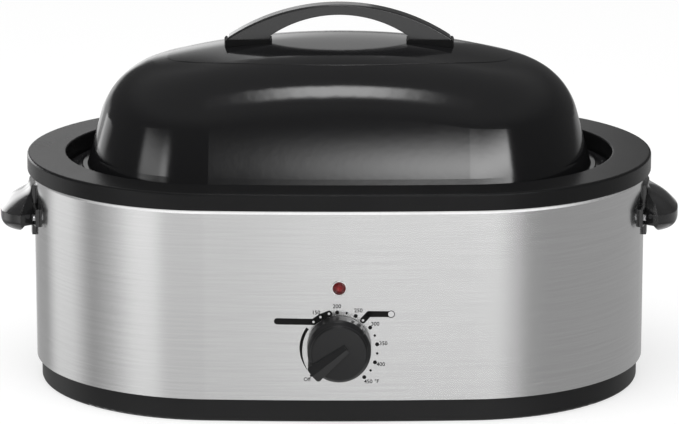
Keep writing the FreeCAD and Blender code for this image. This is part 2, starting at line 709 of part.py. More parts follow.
def make_insulation():
    """Lay the fibre blanket between wrap and well, standing on the reflector tray."""
    body = new_body("insulation_blanket")
    ring(body, "blanket_inset", "heater_inset - blanket_gap", "tray_level + tray_sheet",
         "blanket_top - tray_level - tray_sheet")
    sketch = sketch_on(body, "XZ_Plane", "half_depth")
    add_outline(sketch, (
        ("-window_half_width", "tray_level - 1"),
        ("window_half_width", "tray_level - 1"),
        ("window_half_width", "window_top"),
        ("-window_half_width", "window_top"),
    ))
    extrude(body, "Pocket", sketch, "half_depth")
    sketch = sketch_on(body, "XZ_Plane", "-half_depth")
    add_outline(sketch, (
        ("-heater_break", "heater_level - 6"),
        ("heater_break", "heater_level - 6"),
        ("heater_break", "heater_level + heater_height + 6"),
        ("-heater_break", "heater_level + heater_height + 6"),
    ))
    extrude(body, "Pocket", sketch, "half_depth", reverse=True)
    node(body, "insulation_blanket")

    tray = new_body("reflector_tray")
    oval_pad(tray, "blanket_inset - tray_sheet", "tray_level", "tray_sheet")
    ring(tray, "blanket_inset - tray_sheet", "blanket_inset", "tray_level", "tray_lip")
    sketch = sketch_on(tray, "XY_Plane", "plate_top")
    for along in (1, -1):
        for across in (1, -1):
            add_circle(sketch, f"{along} * foot_x", f"{across} * foot_y", "foot_radius")
    extrude(tray, "Pad", sketch, "tray_level - plate_top")
    sketch = sketch_on(tray, "XZ_Plane", "half_depth")
    add_outline(sketch, (
        ("-window_half_width", "tray_level + tray_sheet"),
        ("window_half_width", "tray_level + tray_sheet"),
        ("window_half_width", "tray_level + tray_lip + 1"),
        ("-window_half_width", "tray_level + tray_lip + 1"),
    ))
    extrude(tray, "Pocket", sketch, "half_depth")
    node(tray, "reflector_tray")


# --- control and mains side ---------------------------------------------------------------

def make_control():
    """Make the thermostat on its bracket, its nut, bulb and capillary, and the cut-out."""
    bracket = new_body("thermostat_bracket")
    sketch = sketch_on(bracket, "XZ_Plane", "control_front")
    half = "(control_width / 2 + 8)"
    add_outline(sketch, (
        (f"-{half}", "base_height + steel_sheet"),
        (half, "base_height + steel_sheet"),
        (half, "dial_level + 20"),
        (f"-{half}", "dial_level + 20"),
    ))
    extrude(bracket, "Pad", sketch, "mount_sheet", reverse=True)
    sketch = sketch_on(bracket, "XY_Plane", "base_height + steel_sheet")
    add_outline(sketch, (
        (f"-{half}", "-control_front"),
        (half, "-control_front"),
        (half, "-control_front + 17"),
        (f"-{half}", "-control_front + 17"),
    ))
    extrude(bracket, "Pad", sketch, "mount_sheet")
    sketch = sketch_on(bracket, "XZ_Plane", "control_front + 1")
    add_circle(sketch, "0", "dial_level", "bush_radius + fit_gap")
    extrude(bracket, "Pocket", sketch, "mount_sheet + 2")
    node(bracket, "thermostat_bracket")

    body = new_body("thermostat_body")
    rear = "control_front - mount_sheet"
    sketch = sketch_on(body, "XZ_Plane", rear)
    add_outline(sketch, (
        ("-control_width / 2", "dial_level - control_height / 2"),
        ("control_width / 2", "dial_level - control_height / 2"),
        ("control_width / 2", "dial_level + control_height / 2"),
        ("-control_width / 2", "dial_level + control_height / 2"),
    ))
    extrude(body, "Pad", sketch, "control_depth", reverse=True)
    sketch = sketch_on(body, "XZ_Plane", rear)
    add_circle(sketch, "0", "dial_level", "bush_radius")
    extrude(body, "Pad", sketch, "steel_front + nut_height + 0.8 - control_front + mount_sheet")
    sketch = sketch_on(body, "XZ_Plane", "steel_front + 10")
    add_circle(sketch, "0", "dial_level", "shaft_radius + fit_gap")
    extrude(body, "Pocket", sketch, "16.4 + steel_front - control_front + mount_sheet")
    node(body, "thermostat_body")

    nut = doc.addObject("Part::Prism", "bush_nut")
    nut.Polygon = 6
    nut.Placement = Placement(Vector(), FRONT)
    drive(nut, Circumradius="nut_radius", Height="nut_height", Base_y="-steel_front", Base_z="dial_level")
    bore = cylinder("nut_bore", "bush_radius + fit_gap", "nut_height + 2",
                    "0", "1 - steel_front", "dial_level", FRONT)
    node(combine("Cut", "bush_nut_bored", nut, bore), "bush_nut")

    bulb_y = "(liner_front + bulb_radius + fit_gap)"
    bulb = new_body("sensing_bulb")
    sketch = sketch_on(bulb, "YZ_Plane", "-bulb_length / 2")
    add_circle(sketch, f"-{bulb_y}", "bulb_level", "bulb_radius")
    extrude(bulb, "Pad", sketch, "bulb_length")
    path = sketch_on(bulb, "XY_Plane", "bulb_level")
    bend = "7"
    side = "(bulb_length / 2 + 9)"
    turn_y = f"-({bulb_y} + 26)"
    add_outline(path, (
        ("-bulb_length / 2 + 4", f"-{bulb_y}"),
        (f"-{side} + {bend}", f"-{bulb_y}"),
        (f"-{side}", f"-{bulb_y} - {bend}", bend),
        (f"-{side}", f"{turn_y} + {bend}"),
        (f"-{side} + {bend}", turn_y, bend),
        ("-control_width / 2", turn_y),
    ), closed=False)
    profile = sketch_on(bulb, "YZ_Plane", "-bulb_length / 2 + 4")
    add_circle(profile, f"-{bulb_y}", "bulb_level", "capillary_radius")
    pipe = bulb.newObject("PartDesign::AdditivePipe", "capillary")
    pipe.Profile = profile
    pipe.Spine = path
    node(bulb, "sensing_bulb")

    strap_y = f"-{bulb_y} - bulb_radius - fit_gap - clip_sheet"
    holder = box("bulb_strap_leaf", "12", "bulb_radius * 2 + clip_sheet + fit_gap", "clip_sheet", "8",
                 strap_y, "bulb_level + bulb_radius + fit_gap")
    front_leaf = box("bulb_strap_front", "12", "clip_sheet", "bulb_radius * 2 + clip_sheet", "8",
                     strap_y, "bulb_level - bulb_radius + fit_gap")
    node(fuse("bulb_strap_made", [holder, front_leaf]), "bulb_strap")

    level = Rotation(Vector(0, 1, 0), 90)
    fuse_case = cylinder("cutout_case", "4", "22", "-11", "0", "liner_floor - 4", level)
    saddle = box("cutout_saddle", "10", "14", "1.0", "-5", "-7", "liner_floor - 1")
    node(fuse("cutout", [fuse_case, saddle]), "thermal_cutout")


def make_lamp():
    """Make the lamp's lens, bezel and the holder behind the steel."""
    lens = new_body("lamp_lens")
    drive(lens, Base_y="-steel_front", Base_z="lamp_level")
    sketch = sketch_on(lens, "YZ_Plane")
    add_outline(sketch, (
        ("2", "0"),
        ("-2.9", "0"),
        ("-1.0", "lamp_radius", "-(lamp_radius^2 + 1.9^2) / (2 * 1.9)"),
        ("2", "lamp_radius"),
    ))
    turn(lens, "Revolution", sketch, "Y_Axis")
    node(lens, "lamp_lens")
    ring_out = cylinder("bezel_out", "lamp_radius + bezel_width", "0.9",
                        "0", "-steel_front", "lamp_level", FRONT)
    ring_in = cylinder("bezel_in", "lamp_radius + fit_gap", "4",
                       "0", "2 - steel_front", "lamp_level", FRONT)
    node(combine("Cut", "bezel", ring_out, ring_in), "lamp_bezel")
    back = "-steel_front + 2"
    body = cylinder("holder_barrel", "lamp_radius + 1", "lamp_length", "0", back, "lamp_level", BACK)
    collar = cylinder("holder_collar", "lamp_radius + 3", "1.4", "0", back, "lamp_level", BACK)
    tails = [box("lamp_tail", "0.8", "6", "2.4",
                 f"{x} - 0.4", "-steel_front + 1 + lamp_length", "lamp_level - 1.2")
             for x in ("-2.2", "2.2")]
    node(fuse("holder", [body, collar] + tails), "lamp_holder")


def make_mains():
    """Make the gland for the mains lead and the terminal block beside it."""
    gland = new_body("cord_gland")
    drive(gland, Base_y="steel_front", Base_z="gland_level")
    sketch = sketch_on(gland, "YZ_Plane")
    add_outline(sketch, (
        ("-gland_in", "gland_bore"),
        ("gland_out", "gland_bore"),
        ("gland_out", "gland_bore + 1.8"),
        ("2.4", "gland_neck + 1"),
        ("2.4", "gland_radius"),
        ("0", "gland_radius"),
        ("0", "gland_neck"),
        ("-steel_sheet", "gland_neck"),
        ("-steel_sheet", "gland_neck + 0.8"),
        ("-gland_in", "gland_neck - 0.6"),
    ))
    turn(gland, "Revolution", sketch, "Y_Axis")
    node(gland, "cord_gland")

    top = "base_height"
    depth = "half_depth - blanket_inset + tray_sheet + 1.5"
    base = box("block_base", "block_length", "block_depth", "block_height", "block_x", depth, top)
    wells = []
    for place in range(3):
        x = f"block_x + (block_length / 6) * {2 * place + 1}"
        y = f"{depth} + block_depth / 2"
        wells.append(cylinder("block_well", "2.6", "8", x, y, f"{top} + block_height - 4"))
    node(combine("Cut", "block_cut", base, fuse("block_wells", wells)), "terminal_block")


def dial_body(name):
    """Start a body on the dial's axis, leaned to where the pointer says off."""
    body = new_body(name)
    body.Placement = Placement(Vector(), Rotation(Vector(0, 1, 0), 1))
    body.setExpression(".Placement.Rotation.Angle", bound("dial_lean"))
    return drive(body, Base_y="-steel_front", Base_z="dial_level")


def make_dial():
    """Turn the knob with its pointer, and the D-shaped shaft that it sits on."""
    knob = dial_body("control_knob")
    face = "(knob_radius - 4.5)"
    sketch = sketch_on(knob, "YZ_Plane")
    add_outline(sketch, (
        ("-knob_gap", "0"),
        ("-knob_gap", "knob_radius"),
        ("-knob_depth + 5.5", "knob_radius - 0.4"),
        ("-knob_depth + 0.8", face, "5"),
        ("-knob_depth", "0", f"({face}^2 + 0.8^2) / (2 * 0.8)"),
    ))
    turn(knob, "Revolution", sketch, "Y_Axis")
    ridge = []
    for level, half in (("pointer_tail", "pointer_tail_half"), ("-pointer_reach", "pointer_tip_half")):
        sketch = sketch_on(knob, "XY_Plane", level)
        add_outline(sketch, (
            (f"-{half}", "-knob_gap"),
            (f"-{half}", "-knob_depth - 0.6"),
            ("0", "-pointer_height"),
            (half, "-knob_depth - 0.6"),
            (half, "-knob_gap"),
        ))
        ridge.append(sketch)
    gable = knob.newObject("PartDesign::AdditiveLoft", "pointer")
    gable.Profile = ridge[0]
    gable.Sections = ridge[1:]
    gable.Ruled = True
    doc.recompute()
    tip = amount("pointer_tip_half")
    reach = amount("pointer_reach")
    soften(knob, "pointer_tip_half * 0.3",
           lambda point: abs(abs(point.x) - tip) < NEAR and abs(point.z + reach) < NEAR)
    sketch = sketch_on(knob, "YZ_Plane")
    add_outline(sketch, (
        ("0", "hub_radius"),
        ("-knob_depth + 7", "hub_radius"),
        ("-knob_depth + 7", "knob_radius - knob_wall - 0.5"),
        ("0", "knob_radius - knob_wall"),
    ))
    turn(knob, "Groove", sketch, "Y_Axis")
    sketch = sketch_on(knob, "XZ_Plane", "0")
    add_circle(sketch, "0", "0", "hub_radius + 1")
    extrude(knob, "Pocket", sketch, "nut_height + 2.4", reverse=True)
    sketch = sketch_on(knob, "XZ_Plane", "0")
    bore, flat = "(shaft_radius + fit_gap)", "(shaft_flat + fit_gap)"
    half = f"sqrt({bore}^2 - {flat}^2)"
    add_outline(sketch, ((half, flat, bore), (f"-{half}", flat), ("0", f"-{bore}", bore)))
    extrude(knob, "Pocket", sketch, "knob_depth - 6", reverse=True)
    node(knob, "control_knob")

    shaft = dial_body("shaft")
    root = "(steel_front - control_front + mount_sheet + 6)"
    sketch = sketch_on(shaft, "XZ_Plane", f"-{root}")
    add_circle(sketch, "0", "0", "shaft_radius")
    extrude(shaft, "Pad", sketch, f"{root} + knob_depth - 7")
    sketch = sketch_on(shaft, "XZ_Plane", "knob_depth")
    add_outline(sketch, (
        ("-shaft_radius - 1", "shaft_flat"),
        ("shaft_radius + 1", "shaft_flat"),
        ("shaft_radius + 1", "shaft_radius + 1"),
        ("-shaft_radius - 1", "shaft_radius + 1"),
    ))
    extrude(shaft, "Pocket", sketch, "knob_depth - nut_height - 1.3")
    node(shaft, "thermostat_shaft")

    spring = new_body("spring")
    drive(spring, Base_y="-steel_front - nut_height - 3.4", Base_z="dial_level")
    sketch = sketch_on(spring, "XZ_Plane")
    add_circle(sketch, "0", "0", "hub_radius + fit_gap")
    add_circle(sketch, "0", "0", "hub_radius + fit_gap + 0.7")
    extrude(spring, "Pad", sketch, "5")
    node(spring, "knob_spring_ring")


# --- pan, rack and lid ----------------------------------------------------------------------

def make_pan():
    """Draw the roasting pan: tapered wall, rounded floor, flange and turned edge."""
    body = new_body("roasting_pan")
    oval_pad(body, "pan_inset", "pan_top", "pan_top - pan_floor", taper="pan_draft", down=True)
    foot = "pan_inset + (pan_top - pan_floor) * tan(pan_draft)"
    ring(body, "pan_rim_inset", "pan_inset + pan_sheet", "pan_seat", "pan_sheet")
    ring(body, "pan_rim_inset", "pan_rim_inset + pan_sheet", "pan_top - pan_bead", "pan_bead")
    sketch = sketch_on(body, "XY_Plane", "pan_top")
    add_oval(sketch, "pan_inset + pan_sheet")
    extrude(body, "Pocket", sketch, "pan_top - pan_inside", taper="pan_draft")
    inner_foot = "pan_inset + pan_sheet + (pan_top - pan_inside) * tan(pan_draft)"
    soften(body, "pan_round - pan_sheet", on_oval(inner_foot, "pan_inside"))
    soften(body, "pan_round", on_oval(foot, "pan_floor"))
    node(body, "roasting_pan")


def make_rack():
    """Weld the rack: oval frame, cross wires, long rails and four legs; its handles stand on it."""
    wires = []
    frame = new_body("rack_frame")
    ring(frame, "rack_inset", "rack_inset + 2 * frame_wire", "rack_level - frame_wire", "2 * frame_wire")
    for inset in ("rack_inset", "rack_inset + 2 * frame_wire"):
        for level in ("rack_level - frame_wire", "rack_level + frame_wire"):
            soften(frame, "frame_wire * 0.96", on_oval(inset, level))
    wires.append(frame)
    for step in range(-6, 7):
        x = f"{step} * wire_pitch"
        reach = half_width("rack_inset + frame_wire", x)
        wires.append(cylinder("cross_wire", "cross_wire", f"2 * {reach}", x, f"-{reach}", "rack_level", BACK))
    for side in (-1, 1):
        y = f"{side} * (half_depth - rack_inset) * 0.45"
        reach = "(half_length - rack_inset - 12)"
        rail = cylinder("rail", "frame_wire", f"2 * {reach}", f"-{reach}", y,
                        "rack_level - cross_wire - frame_wire + 0.6", Rotation(Vector(0, 1, 0), 90))
        wires.append(rail)
    for x, y in around_ends("rack_inset + frame_wire", (52,)):
        wires.append(cylinder("leg", "frame_wire", "rack_lift - seat_gap", x, y, "pan_inside + seat_gap"))
    node(fuse("rack", wires), "roasting_rack")
    right_grip = rack_handle()
    node(group("rack_grips", [right_grip, mirrored(right_grip, "rack_handle_left")]), "rack_handles")


def rack_handle():
    """Bend one lift handle of the rack from round wire."""
    body = new_body("rack_handle")
    half, bend = "(rack_grip_width / 2)", "rack_grip_round"
    start = "(rack_level + frame_wire)"
    x = f"end_centre + sqrt((end_radius - rack_inset - frame_wire)^2 - {half}^2)"
    path = sketch_on(body, "YZ_Plane", x)
    add_outline(path, (
        (f"-{half}", start),
        (f"-{half}", f"rack_grip_top - {bend}"),
        (f"-{half} + {bend}", "rack_grip_top", f"-{bend}"),
        (f"{half} - {bend}", "rack_grip_top"),
        (half, f"rack_grip_top - {bend}", f"-{bend}"),
        (half, start),
    ), closed=False)
    profile = sketch_on(body, "XY_Plane", start)
    add_circle(profile, x, f"-{half}", "frame_wire")
    pipe = body.newObject("PartDesign::AdditivePipe", "rack_handle_pipe")
    pipe.Profile = profile
    pipe.Spine = path
    doc.recompute()
    return body


def dome(name, shrink):
    """Build the dome as a full block: leaning oval wall, crown curved both ways, shoulder."""
    body = new_body(name)
    height = "(dome_top - dome_base + 30)"
    oval_pad(body, f"dome_inset + ({shrink})", "dome_base", height, taper="dome_draft")
    sketch = sketch_on(body, "XZ_Plane")
    apex = f"(dome_top - ({shrink}))"
    edge = "half_length - dome_inset + 10"
    drop = f"(crown_length_radius - sqrt(crown_length_radius^2 - ({edge})^2))"
    lid = f"dome_base + {height} + 20"
    add_outline(sketch, (
        (f"-({edge})", f"{apex} - {drop}"),
        (edge, f"{apex} - {drop}", "-crown_length_radius"),
        (edge, lid),
        (f"-({edge})", lid),
    ))
    level = amount(f"{apex} - crown_depth_radius")
    reach = amount(edge)
    axis = sketch.addGeometry(Part.LineSegment(Vector(-reach, level, 0), Vector(reach, level, 0)), True)
    fix_point(sketch, axis, 1, (f"-({edge})", f"{apex} - crown_depth_radius"))
    fix_point(sketch, axis, 2, (edge, f"{apex} - crown_depth_radius"))
    turn(body, "Groove", sketch, None, angle=100)
    upper, lower = amount(apex) + 2, amount("dome_base") + 20
    soften(body, f"shoulder_radius - ({shrink})",
           lambda point: lower < point.z < upper and inset_at(point) > 0
           and abs(slope_height(point, apex)) < 0.2)
    return body


def slope_height(point, apex):
    """Measure how far a point lies above the crown that has the given apex."""
    across = amount("crown_depth_radius")
    along = amount("crown_length_radius")
    rise = math.sqrt(along ** 2 - point.x ** 2) - along + across
    return point.z - (amount(apex) - across + math.sqrt(rise ** 2 - point.y ** 2))


def make_lid():
    """Press the lid: hollow dome with its raised crown, step, edge flange and hanging ring."""
    ellipse = doc.addObject("Part::Ellipse", "plateau_plan")
    drive(ellipse, MajorRadius="plateau_length", MinorRadius="plateau_width")
    prism = doc.addObject("Part::Extrusion", "plateau_prism")
    prism.Base = ellipse
    prism.Dir = Vector(0, 0, 1)
    prism.Solid = True
    drive(prism, LengthFwd="dome_top + 10")
    raised = combine("Common", "plateau", dome("dome_raised", "-plateau_rise"), prism)
    outer = fuse("dome_outer", [dome("dome_outside", "0"), raised])
    skirt = new_body("lid_skirt")
    ring(skirt, "dome_inset", "dome_inset + lid_sheet",
         "lid_seat - lid_lip", "dome_base - lid_seat + lid_lip + 0.4")
    ring(skirt, "lid_step_inset", "dome_inset + lid_sheet", "dome_base - lid_sheet", "lid_sheet")
    ring(skirt, "lid_step_inset", "lid_step_inset + lid_sheet", "lid_seat", "lid_step + lid_sheet")
    ring(skirt, "lid_edge_inset", "lid_step_inset + lid_sheet", "lid_seat", "lid_sheet")
    soften(skirt, "0.8", on_oval("lid_step_inset", "dome_base"))
    inner = dome("dome_inside", "lid_sheet")
    hollow = combine("Cut", "dome_hollow", outer, inner)
    holes = [cylinder("lid_hole", "grip_screw_radius + fit_gap", "60",
                      f"{side} * grip_screw_x", "0", "grip_seat - 40")
             for side in (-1, 1)]
    whole = fuse("lid_whole", [hollow, skirt])
    node(combine("Cut", "lid_drilled", whole, fuse("lid_holes", holes)), "lid_shell")
    return outer


def make_lid_handle(dome_block):
    """Mould the arched handle, with the pads, screws and washers that hold it."""
    body = new_body("lid_handle")
    sketch = sketch_on(body, "XZ_Plane", "-grip_depth / 2")
    foot, rise = "grip_half_length", "(grip_top - grip_seat - 2.2)"
    add_outline(sketch, (
        (f"-{foot}", "grip_seat"),
        ("-grip_leg", "grip_seat"),
        ("-grip_leg", "grip_under - arch_drop"),
        ("grip_leg", "grip_under - arch_drop", "-(grip_leg^2 + arch_drop^2) / (2 * arch_drop)"),
        ("grip_leg", "grip_seat"),
        (foot, "grip_seat"),
        (f"{foot} - 1.3", "grip_seat + 2.2"),
        (f"-{foot} + 1.3", "grip_seat + 2.2", f"(({foot} - 1.3)^2 + {rise}^2) / (2 * {rise})"),
    ))
    extrude(body, "Pad", sketch, "grip_depth")
    face, limit = amount("grip_depth / 2"), amount("grip_seat + 2.2") - NEAR
    bow = amount("(grip_leg^2 + arch_drop^2) / (2 * arch_drop)")
    centre = amount("grip_under") - bow
    soften(body, "grip_edge", lambda point: abs(abs(point.y) - face) < NEAR and point.z > limit
           and math.hypot(point.x, point.z - centre) > bow + 2)
    sketch = sketch_on(body, "XY_Plane", "grip_seat")
    for side in (-1, 1):
        add_circle(sketch, f"{side} * grip_screw_x", "0", "grip_screw_radius + fit_gap")
    extrude(body, "Pocket", sketch, "11", reverse=True)
    node(body, "lid_handle")

    pads = new_body("pad_blocks")
    sketch = sketch_on(pads, "XY_Plane", "grip_seat")
    half = "(grip_depth / 2 + pad_margin)"
    for side in (1, -1):
        inner, outer = f"{side} * (grip_leg - pad_margin)", f"{side} * (grip_half_length + pad_margin)"
        front, back = f"-{side} * {half}", f"{side} * {half}"
        add_outline(sketch, ((inner, front), (outer, front), (outer, back, f"{half} * 5"), (inner, back)))
    extrude(pads, "Pad", sketch, "14", reverse=True)
    sketch = sketch_on(pads, "XY_Plane", "grip_seat + 1")
    for side in (-1, 1):
        add_circle(sketch, f"{side} * grip_screw_x", "0", "grip_screw_radius + fit_gap")
    extrude(pads, "Pocket", sketch, "20")
    node(combine("Cut", "pads_seated", pads, dome_block), "lid_handle_pads")

    fall = "(crown_length_radius - sqrt(crown_length_radius^2 - (grip_screw_x + washer_radius)^2))"
    foot = f"(dome_top - lid_sheet - {fall} - seat_gap - washer_sheet)"
    washers, screws = [], []
    for side in (-1, 1):
        x = f"{side} * grip_screw_x"
        disc = cylinder("washer_disc", "washer_radius", "washer_sheet", x, "0", foot)
        hole = cylinder("washer_hole", "grip_screw_radius + fit_gap", "washer_sheet + 2",
                        x, "0", f"{foot} - 1")
        washers.append(combine("Cut", "washer", disc, hole))
        screws.append(make_screw("grip_screw", "grip_screw_radius", f"grip_seat + 9 - {foot}", "4.6", "3.2",
                                 x, "0", foot))
    node(group("washers", washers), "lid_handle_washers")
    node(group("grip_screws", screws), "lid_handle_screws")


# --- side handles ---------------------------------------------------------------------------

def ear_steps(shrink, share):
    """Outline a side handle in plan; a share of 1 is the crease, 0 the top of the hood."""
    thin = f"({shrink})"
    wide = f"(ear_half_width - 19 * (1 - {share}) - {thin})"
    narrow = f"(ear_shoulder - 7 * (1 - {share}) - {thin} * 0.6)"
    tip = f"(half_length - 1 + (ear_reach + 1) * {share} - {thin})"
    side = f"({tip} - 2)"
    corner = f"(half_length - 5 + 9 * {share} - {thin} * 0.5)"
    root = "(half_length - 22)"
    neck = f"({wide} - 18)"
    return (
        (root, f"-{neck}"),
        (corner, f"-{wide}"),
        (side, f"-{narrow}", "34"),
        (side, narrow, f"({narrow}^2 + 4) / 4"),
        (corner, wide, "34"),
        (root, neck),
    )


def loft(body, kind, shrink, levels):
    """Loft a side handle's outline through levels of (height, share)."""
    sketches = []
    for level, share in levels:
        sketch = sketch_on(body, "XY_Plane", level)
        add_outline(sketch, ear_steps(shrink, share))
        sketches.append(sketch)
    feature = body.newObject(f"PartDesign::{kind}Loft", f"{body.Name}_{kind}")
    feature.Profile = sketches[0]
    feature.Sections = sketches[1:]
    doc.recompute()
    return feature


def ear_pocket(body, shrink, bottom, top):
    """Hollow a side handle between two levels."""
    sketch = sketch_on(body, "XY_Plane", bottom)
    add_outline(sketch, ear_steps(shrink, "1"))
    return extrude(body, "Pocket", sketch, f"{top} - ({bottom})", reverse=True)


def make_side_handles():
    """Mould the hooded side handles and fold the plates that carry them, both ends alike."""
    body = new_body("ear_block")
    sketch = sketch_on(body, "XY_Plane", "ear_bottom")
    add_outline(sketch, ear_steps("0", "1"))
    extrude(body, "Pad", sketch, "ear_crease - ear_bottom")
    foot, inside = amount("ear_bottom"), amount("half_length - 20")
    soften(body, "ear_round", lambda point: abs(point.z - foot) < NEAR and point.x > inside + 0.5)
    rise = "(ear_top - ear_crease)"
    shares = (("0", "1"), ("0.15", "0.87"), ("0.48", "0.50"), ("0.77", "0.10"), ("1", "0"))
    hood = [(f"ear_crease + {part} * {rise}", share) for part, share in shares]
    loft(body, "Additive", "0", hood)
    ear_pocket(body, "ear_round + 1", "ear_bottom - 1", "(ear_bottom + ear_round + 1)")
    ear_pocket(body, "ear_wall", "ear_bottom + ear_round", "(ear_crease - 1)")
    inner = [(f"ear_crease - 4 + {part} * ({rise} - ear_wall)", share) for part, share in shares]
    loft(body, "Subtractive", "ear_wall + 0.6", inner)
    sketch = sketch_on(body, "XZ_Plane", "ear_half_width + 5")
    add_outline(sketch, (
        ("half_length - 30", "ear_bottom - 2"),
        ("half_length + 5.5", "ear_bottom - 2"),
        ("half_length + 5.5", "ear_bottom"),
        ("half_length + 0.5", "ear_bottom + 5.5"),
        ("half_length - 30", "ear_bottom + 5.5"),
    ))
    extrude(body, "Pocket", sketch, "2 * ear_half_width + 10")
    skin = new_body("plate_prism")
    oval_pad(skin, "steel_inset - bracket_sheet - fit_gap", "ear_bottom - 10", "ear_top - ear_bottom + 20")
    right = combine("Cut", "ear_seated", body, skin)
    node(right, "side_handle_right")
    node(mirrored(right, "ear_left"), "side_handle_left")

    block = new_body("plate_block")
    sketch = sketch_on(block, "YZ_Plane", "half_length - 40")
    add_outline(sketch, (
        ("-bracket_half_width", "bracket_bottom"),
        ("bracket_half_width", "bracket_bottom"),
        ("bracket_half_width", "tab_bottom"),
        ("tab_half_width", "tab_bottom"),
        ("tab_half_width", "tab_top"),
        ("bracket_half_width", "tab_top"),
        ("bracket_half_width", "ear_top"),
        ("-bracket_half_width", "ear_top"),
        ("-bracket_half_width", "tab_top"),
        ("-tab_half_width", "tab_top"),
        ("-tab_half_width", "tab_bottom"),
        ("-bracket_half_width", "tab_bottom"),
    ))
    extrude(block, "Pad", sketch, "60")
    band = new_body("plate_band")
    ring(band, "steel_inset - bracket_sheet", "steel_inset - fit_gap", "bracket_bottom - 1",
         "ear_top - bracket_bottom + 2")
    plate = combine("Common", "plate_bent", block, band)
    holes = fuse("plate_holes", tab_cylinders("tab_screw + fit_gap", "12", "12", (1,)))
    drilled = combine("Cut", "plate_drilled", plate, holes)
    node(drilled, "handle_bracket_right")
    node(mirrored(drilled, "plate_left"), "handle_bracket_left")

    screws, nuts = [], []
    seat = "steel_inset - bracket_sheet"
    shanks = tab_cylinders("tab_screw", "12", f"{seat} + 11", (1, -1))
    heads = tab_cylinders("tab_screw + 1", "2", f"{seat} - fit_gap", (1, -1))
    blanks = tab_cylinders("tab_screw + 2.5", "2.2", "steel_inside + 2.2 + 2 * fit_gap", (1, -1))
    bores = tab_cylinders("tab_screw + fit_gap", "12", f"{seat} + 10", (1, -1))
    for shank, head, blank, bore in zip(shanks, heads, blanks, bores):
        screws.append(fuse("tab_screw", [shank, head]))
        nuts.append(combine("Cut", "tab_nut", blank, bore))
    node(group("tab_screws", screws), "side_handle_screws")
    node(group("tab_nuts", nuts), "side_handle_nuts")


def tab_cylinders(radius, length, inset, ends):
    """Place cylinders on the plates' tabs, each starting at an inset and pointing outwards."""
    level, angle = "(tab_bottom + tab_top) / 2", amount("tab_angle")
    made = []
    for along in ends:
        for across in (1, -1):
            degrees = angle * across if along > 0 else 180 - angle * across
            x, y = round_end(inset, "tab_angle")
            turned = Rotation(Vector(0, 0, 1), degrees) * Rotation(Vector(0, 1, 0), 90)
            foot_x, foot_y = f"{along} * ({x})", f"{across} * ({y})"
            made.append(cylinder("on_tab", radius, length, foot_x, foot_y, level, turned))
    return made


def export_nodes():
    """Check every object and every node's solid, then write one STEP file per node."""
    doc.recompute()
    for item in doc.Objects:
        if {"Invalid", "Error"} & set(item.State):
            raise RuntimeError(f"{item.Label} failed: {item.State}")
    for label, piece in nodes.items():
        if piece.Shape.isNull() or not piece.Shape.isValid() or not piece.Shape.Solids:
            raise RuntimeError(f"{label} has no valid solid")
    os.makedirs("parts", exist_ok=True)
    for label, piece in nodes.items():
        piece.Shape.exportStep(f"parts/{label}.step")
        print(f"{label}: {len(piece.Shape.Solids)} solid(s), {piece.Shape.Volume / 1000:.1f} cm3")


fill_sheet()
make_base()
make_bottom_plate()
make_base_hardware()
make_wrap()
make_rim()
make_liner()
make_heating()
make_insulation()
make_control()
make_lamp()
make_mains()
make_dial()
make_pan()
make_rack()
make_lid_handle(make_lid())
make_side_handles()
export_nodes()
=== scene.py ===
"""Electric roaster oven: finishes, printed dial scale, small trim, studio and camera."""

from __future__ import annotations

import json
import logging
import math
from contextlib import contextmanager
from dataclasses import dataclass
from enum import Enum
from typing import Any, Callable, Iterable, Iterator

import bpy
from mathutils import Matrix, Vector

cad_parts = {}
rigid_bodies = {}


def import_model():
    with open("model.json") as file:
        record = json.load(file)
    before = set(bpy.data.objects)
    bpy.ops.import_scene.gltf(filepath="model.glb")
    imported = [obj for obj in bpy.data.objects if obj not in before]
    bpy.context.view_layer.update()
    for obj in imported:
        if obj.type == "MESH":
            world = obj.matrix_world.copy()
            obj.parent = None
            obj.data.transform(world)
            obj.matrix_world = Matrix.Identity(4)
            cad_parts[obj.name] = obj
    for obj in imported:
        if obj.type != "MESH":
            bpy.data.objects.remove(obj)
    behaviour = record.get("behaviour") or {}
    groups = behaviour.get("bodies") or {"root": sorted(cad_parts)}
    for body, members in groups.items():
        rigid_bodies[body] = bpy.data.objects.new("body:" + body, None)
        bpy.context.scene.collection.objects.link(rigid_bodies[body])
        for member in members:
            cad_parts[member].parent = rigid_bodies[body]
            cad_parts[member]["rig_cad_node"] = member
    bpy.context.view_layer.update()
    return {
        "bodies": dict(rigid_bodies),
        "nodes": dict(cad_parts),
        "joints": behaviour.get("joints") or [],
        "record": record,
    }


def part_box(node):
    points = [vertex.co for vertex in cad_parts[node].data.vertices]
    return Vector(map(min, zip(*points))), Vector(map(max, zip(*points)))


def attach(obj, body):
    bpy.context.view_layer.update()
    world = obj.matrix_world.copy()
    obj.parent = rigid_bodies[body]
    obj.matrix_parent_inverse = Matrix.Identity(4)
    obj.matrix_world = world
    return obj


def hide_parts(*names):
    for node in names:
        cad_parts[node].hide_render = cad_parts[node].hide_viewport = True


LOG = logging.getLogger("roaster")
MM = 0.001
FACING_FRONT = (math.pi / 2, 0.0, 0.0)
Socket, Node, Piece = bpy.types.NodeSocket, bpy.types.Node, bpy.types.Object
Colour = tuple[float, float, float]
Place = tuple[float, float, float]
Pair = tuple[float, float]


class Carrier(Enum):
    """The bodies that new pieces ride on."""

    CASING = "casing"
    DIAL = "dial"


# --- node trees ---------------------------------------------------------------------------


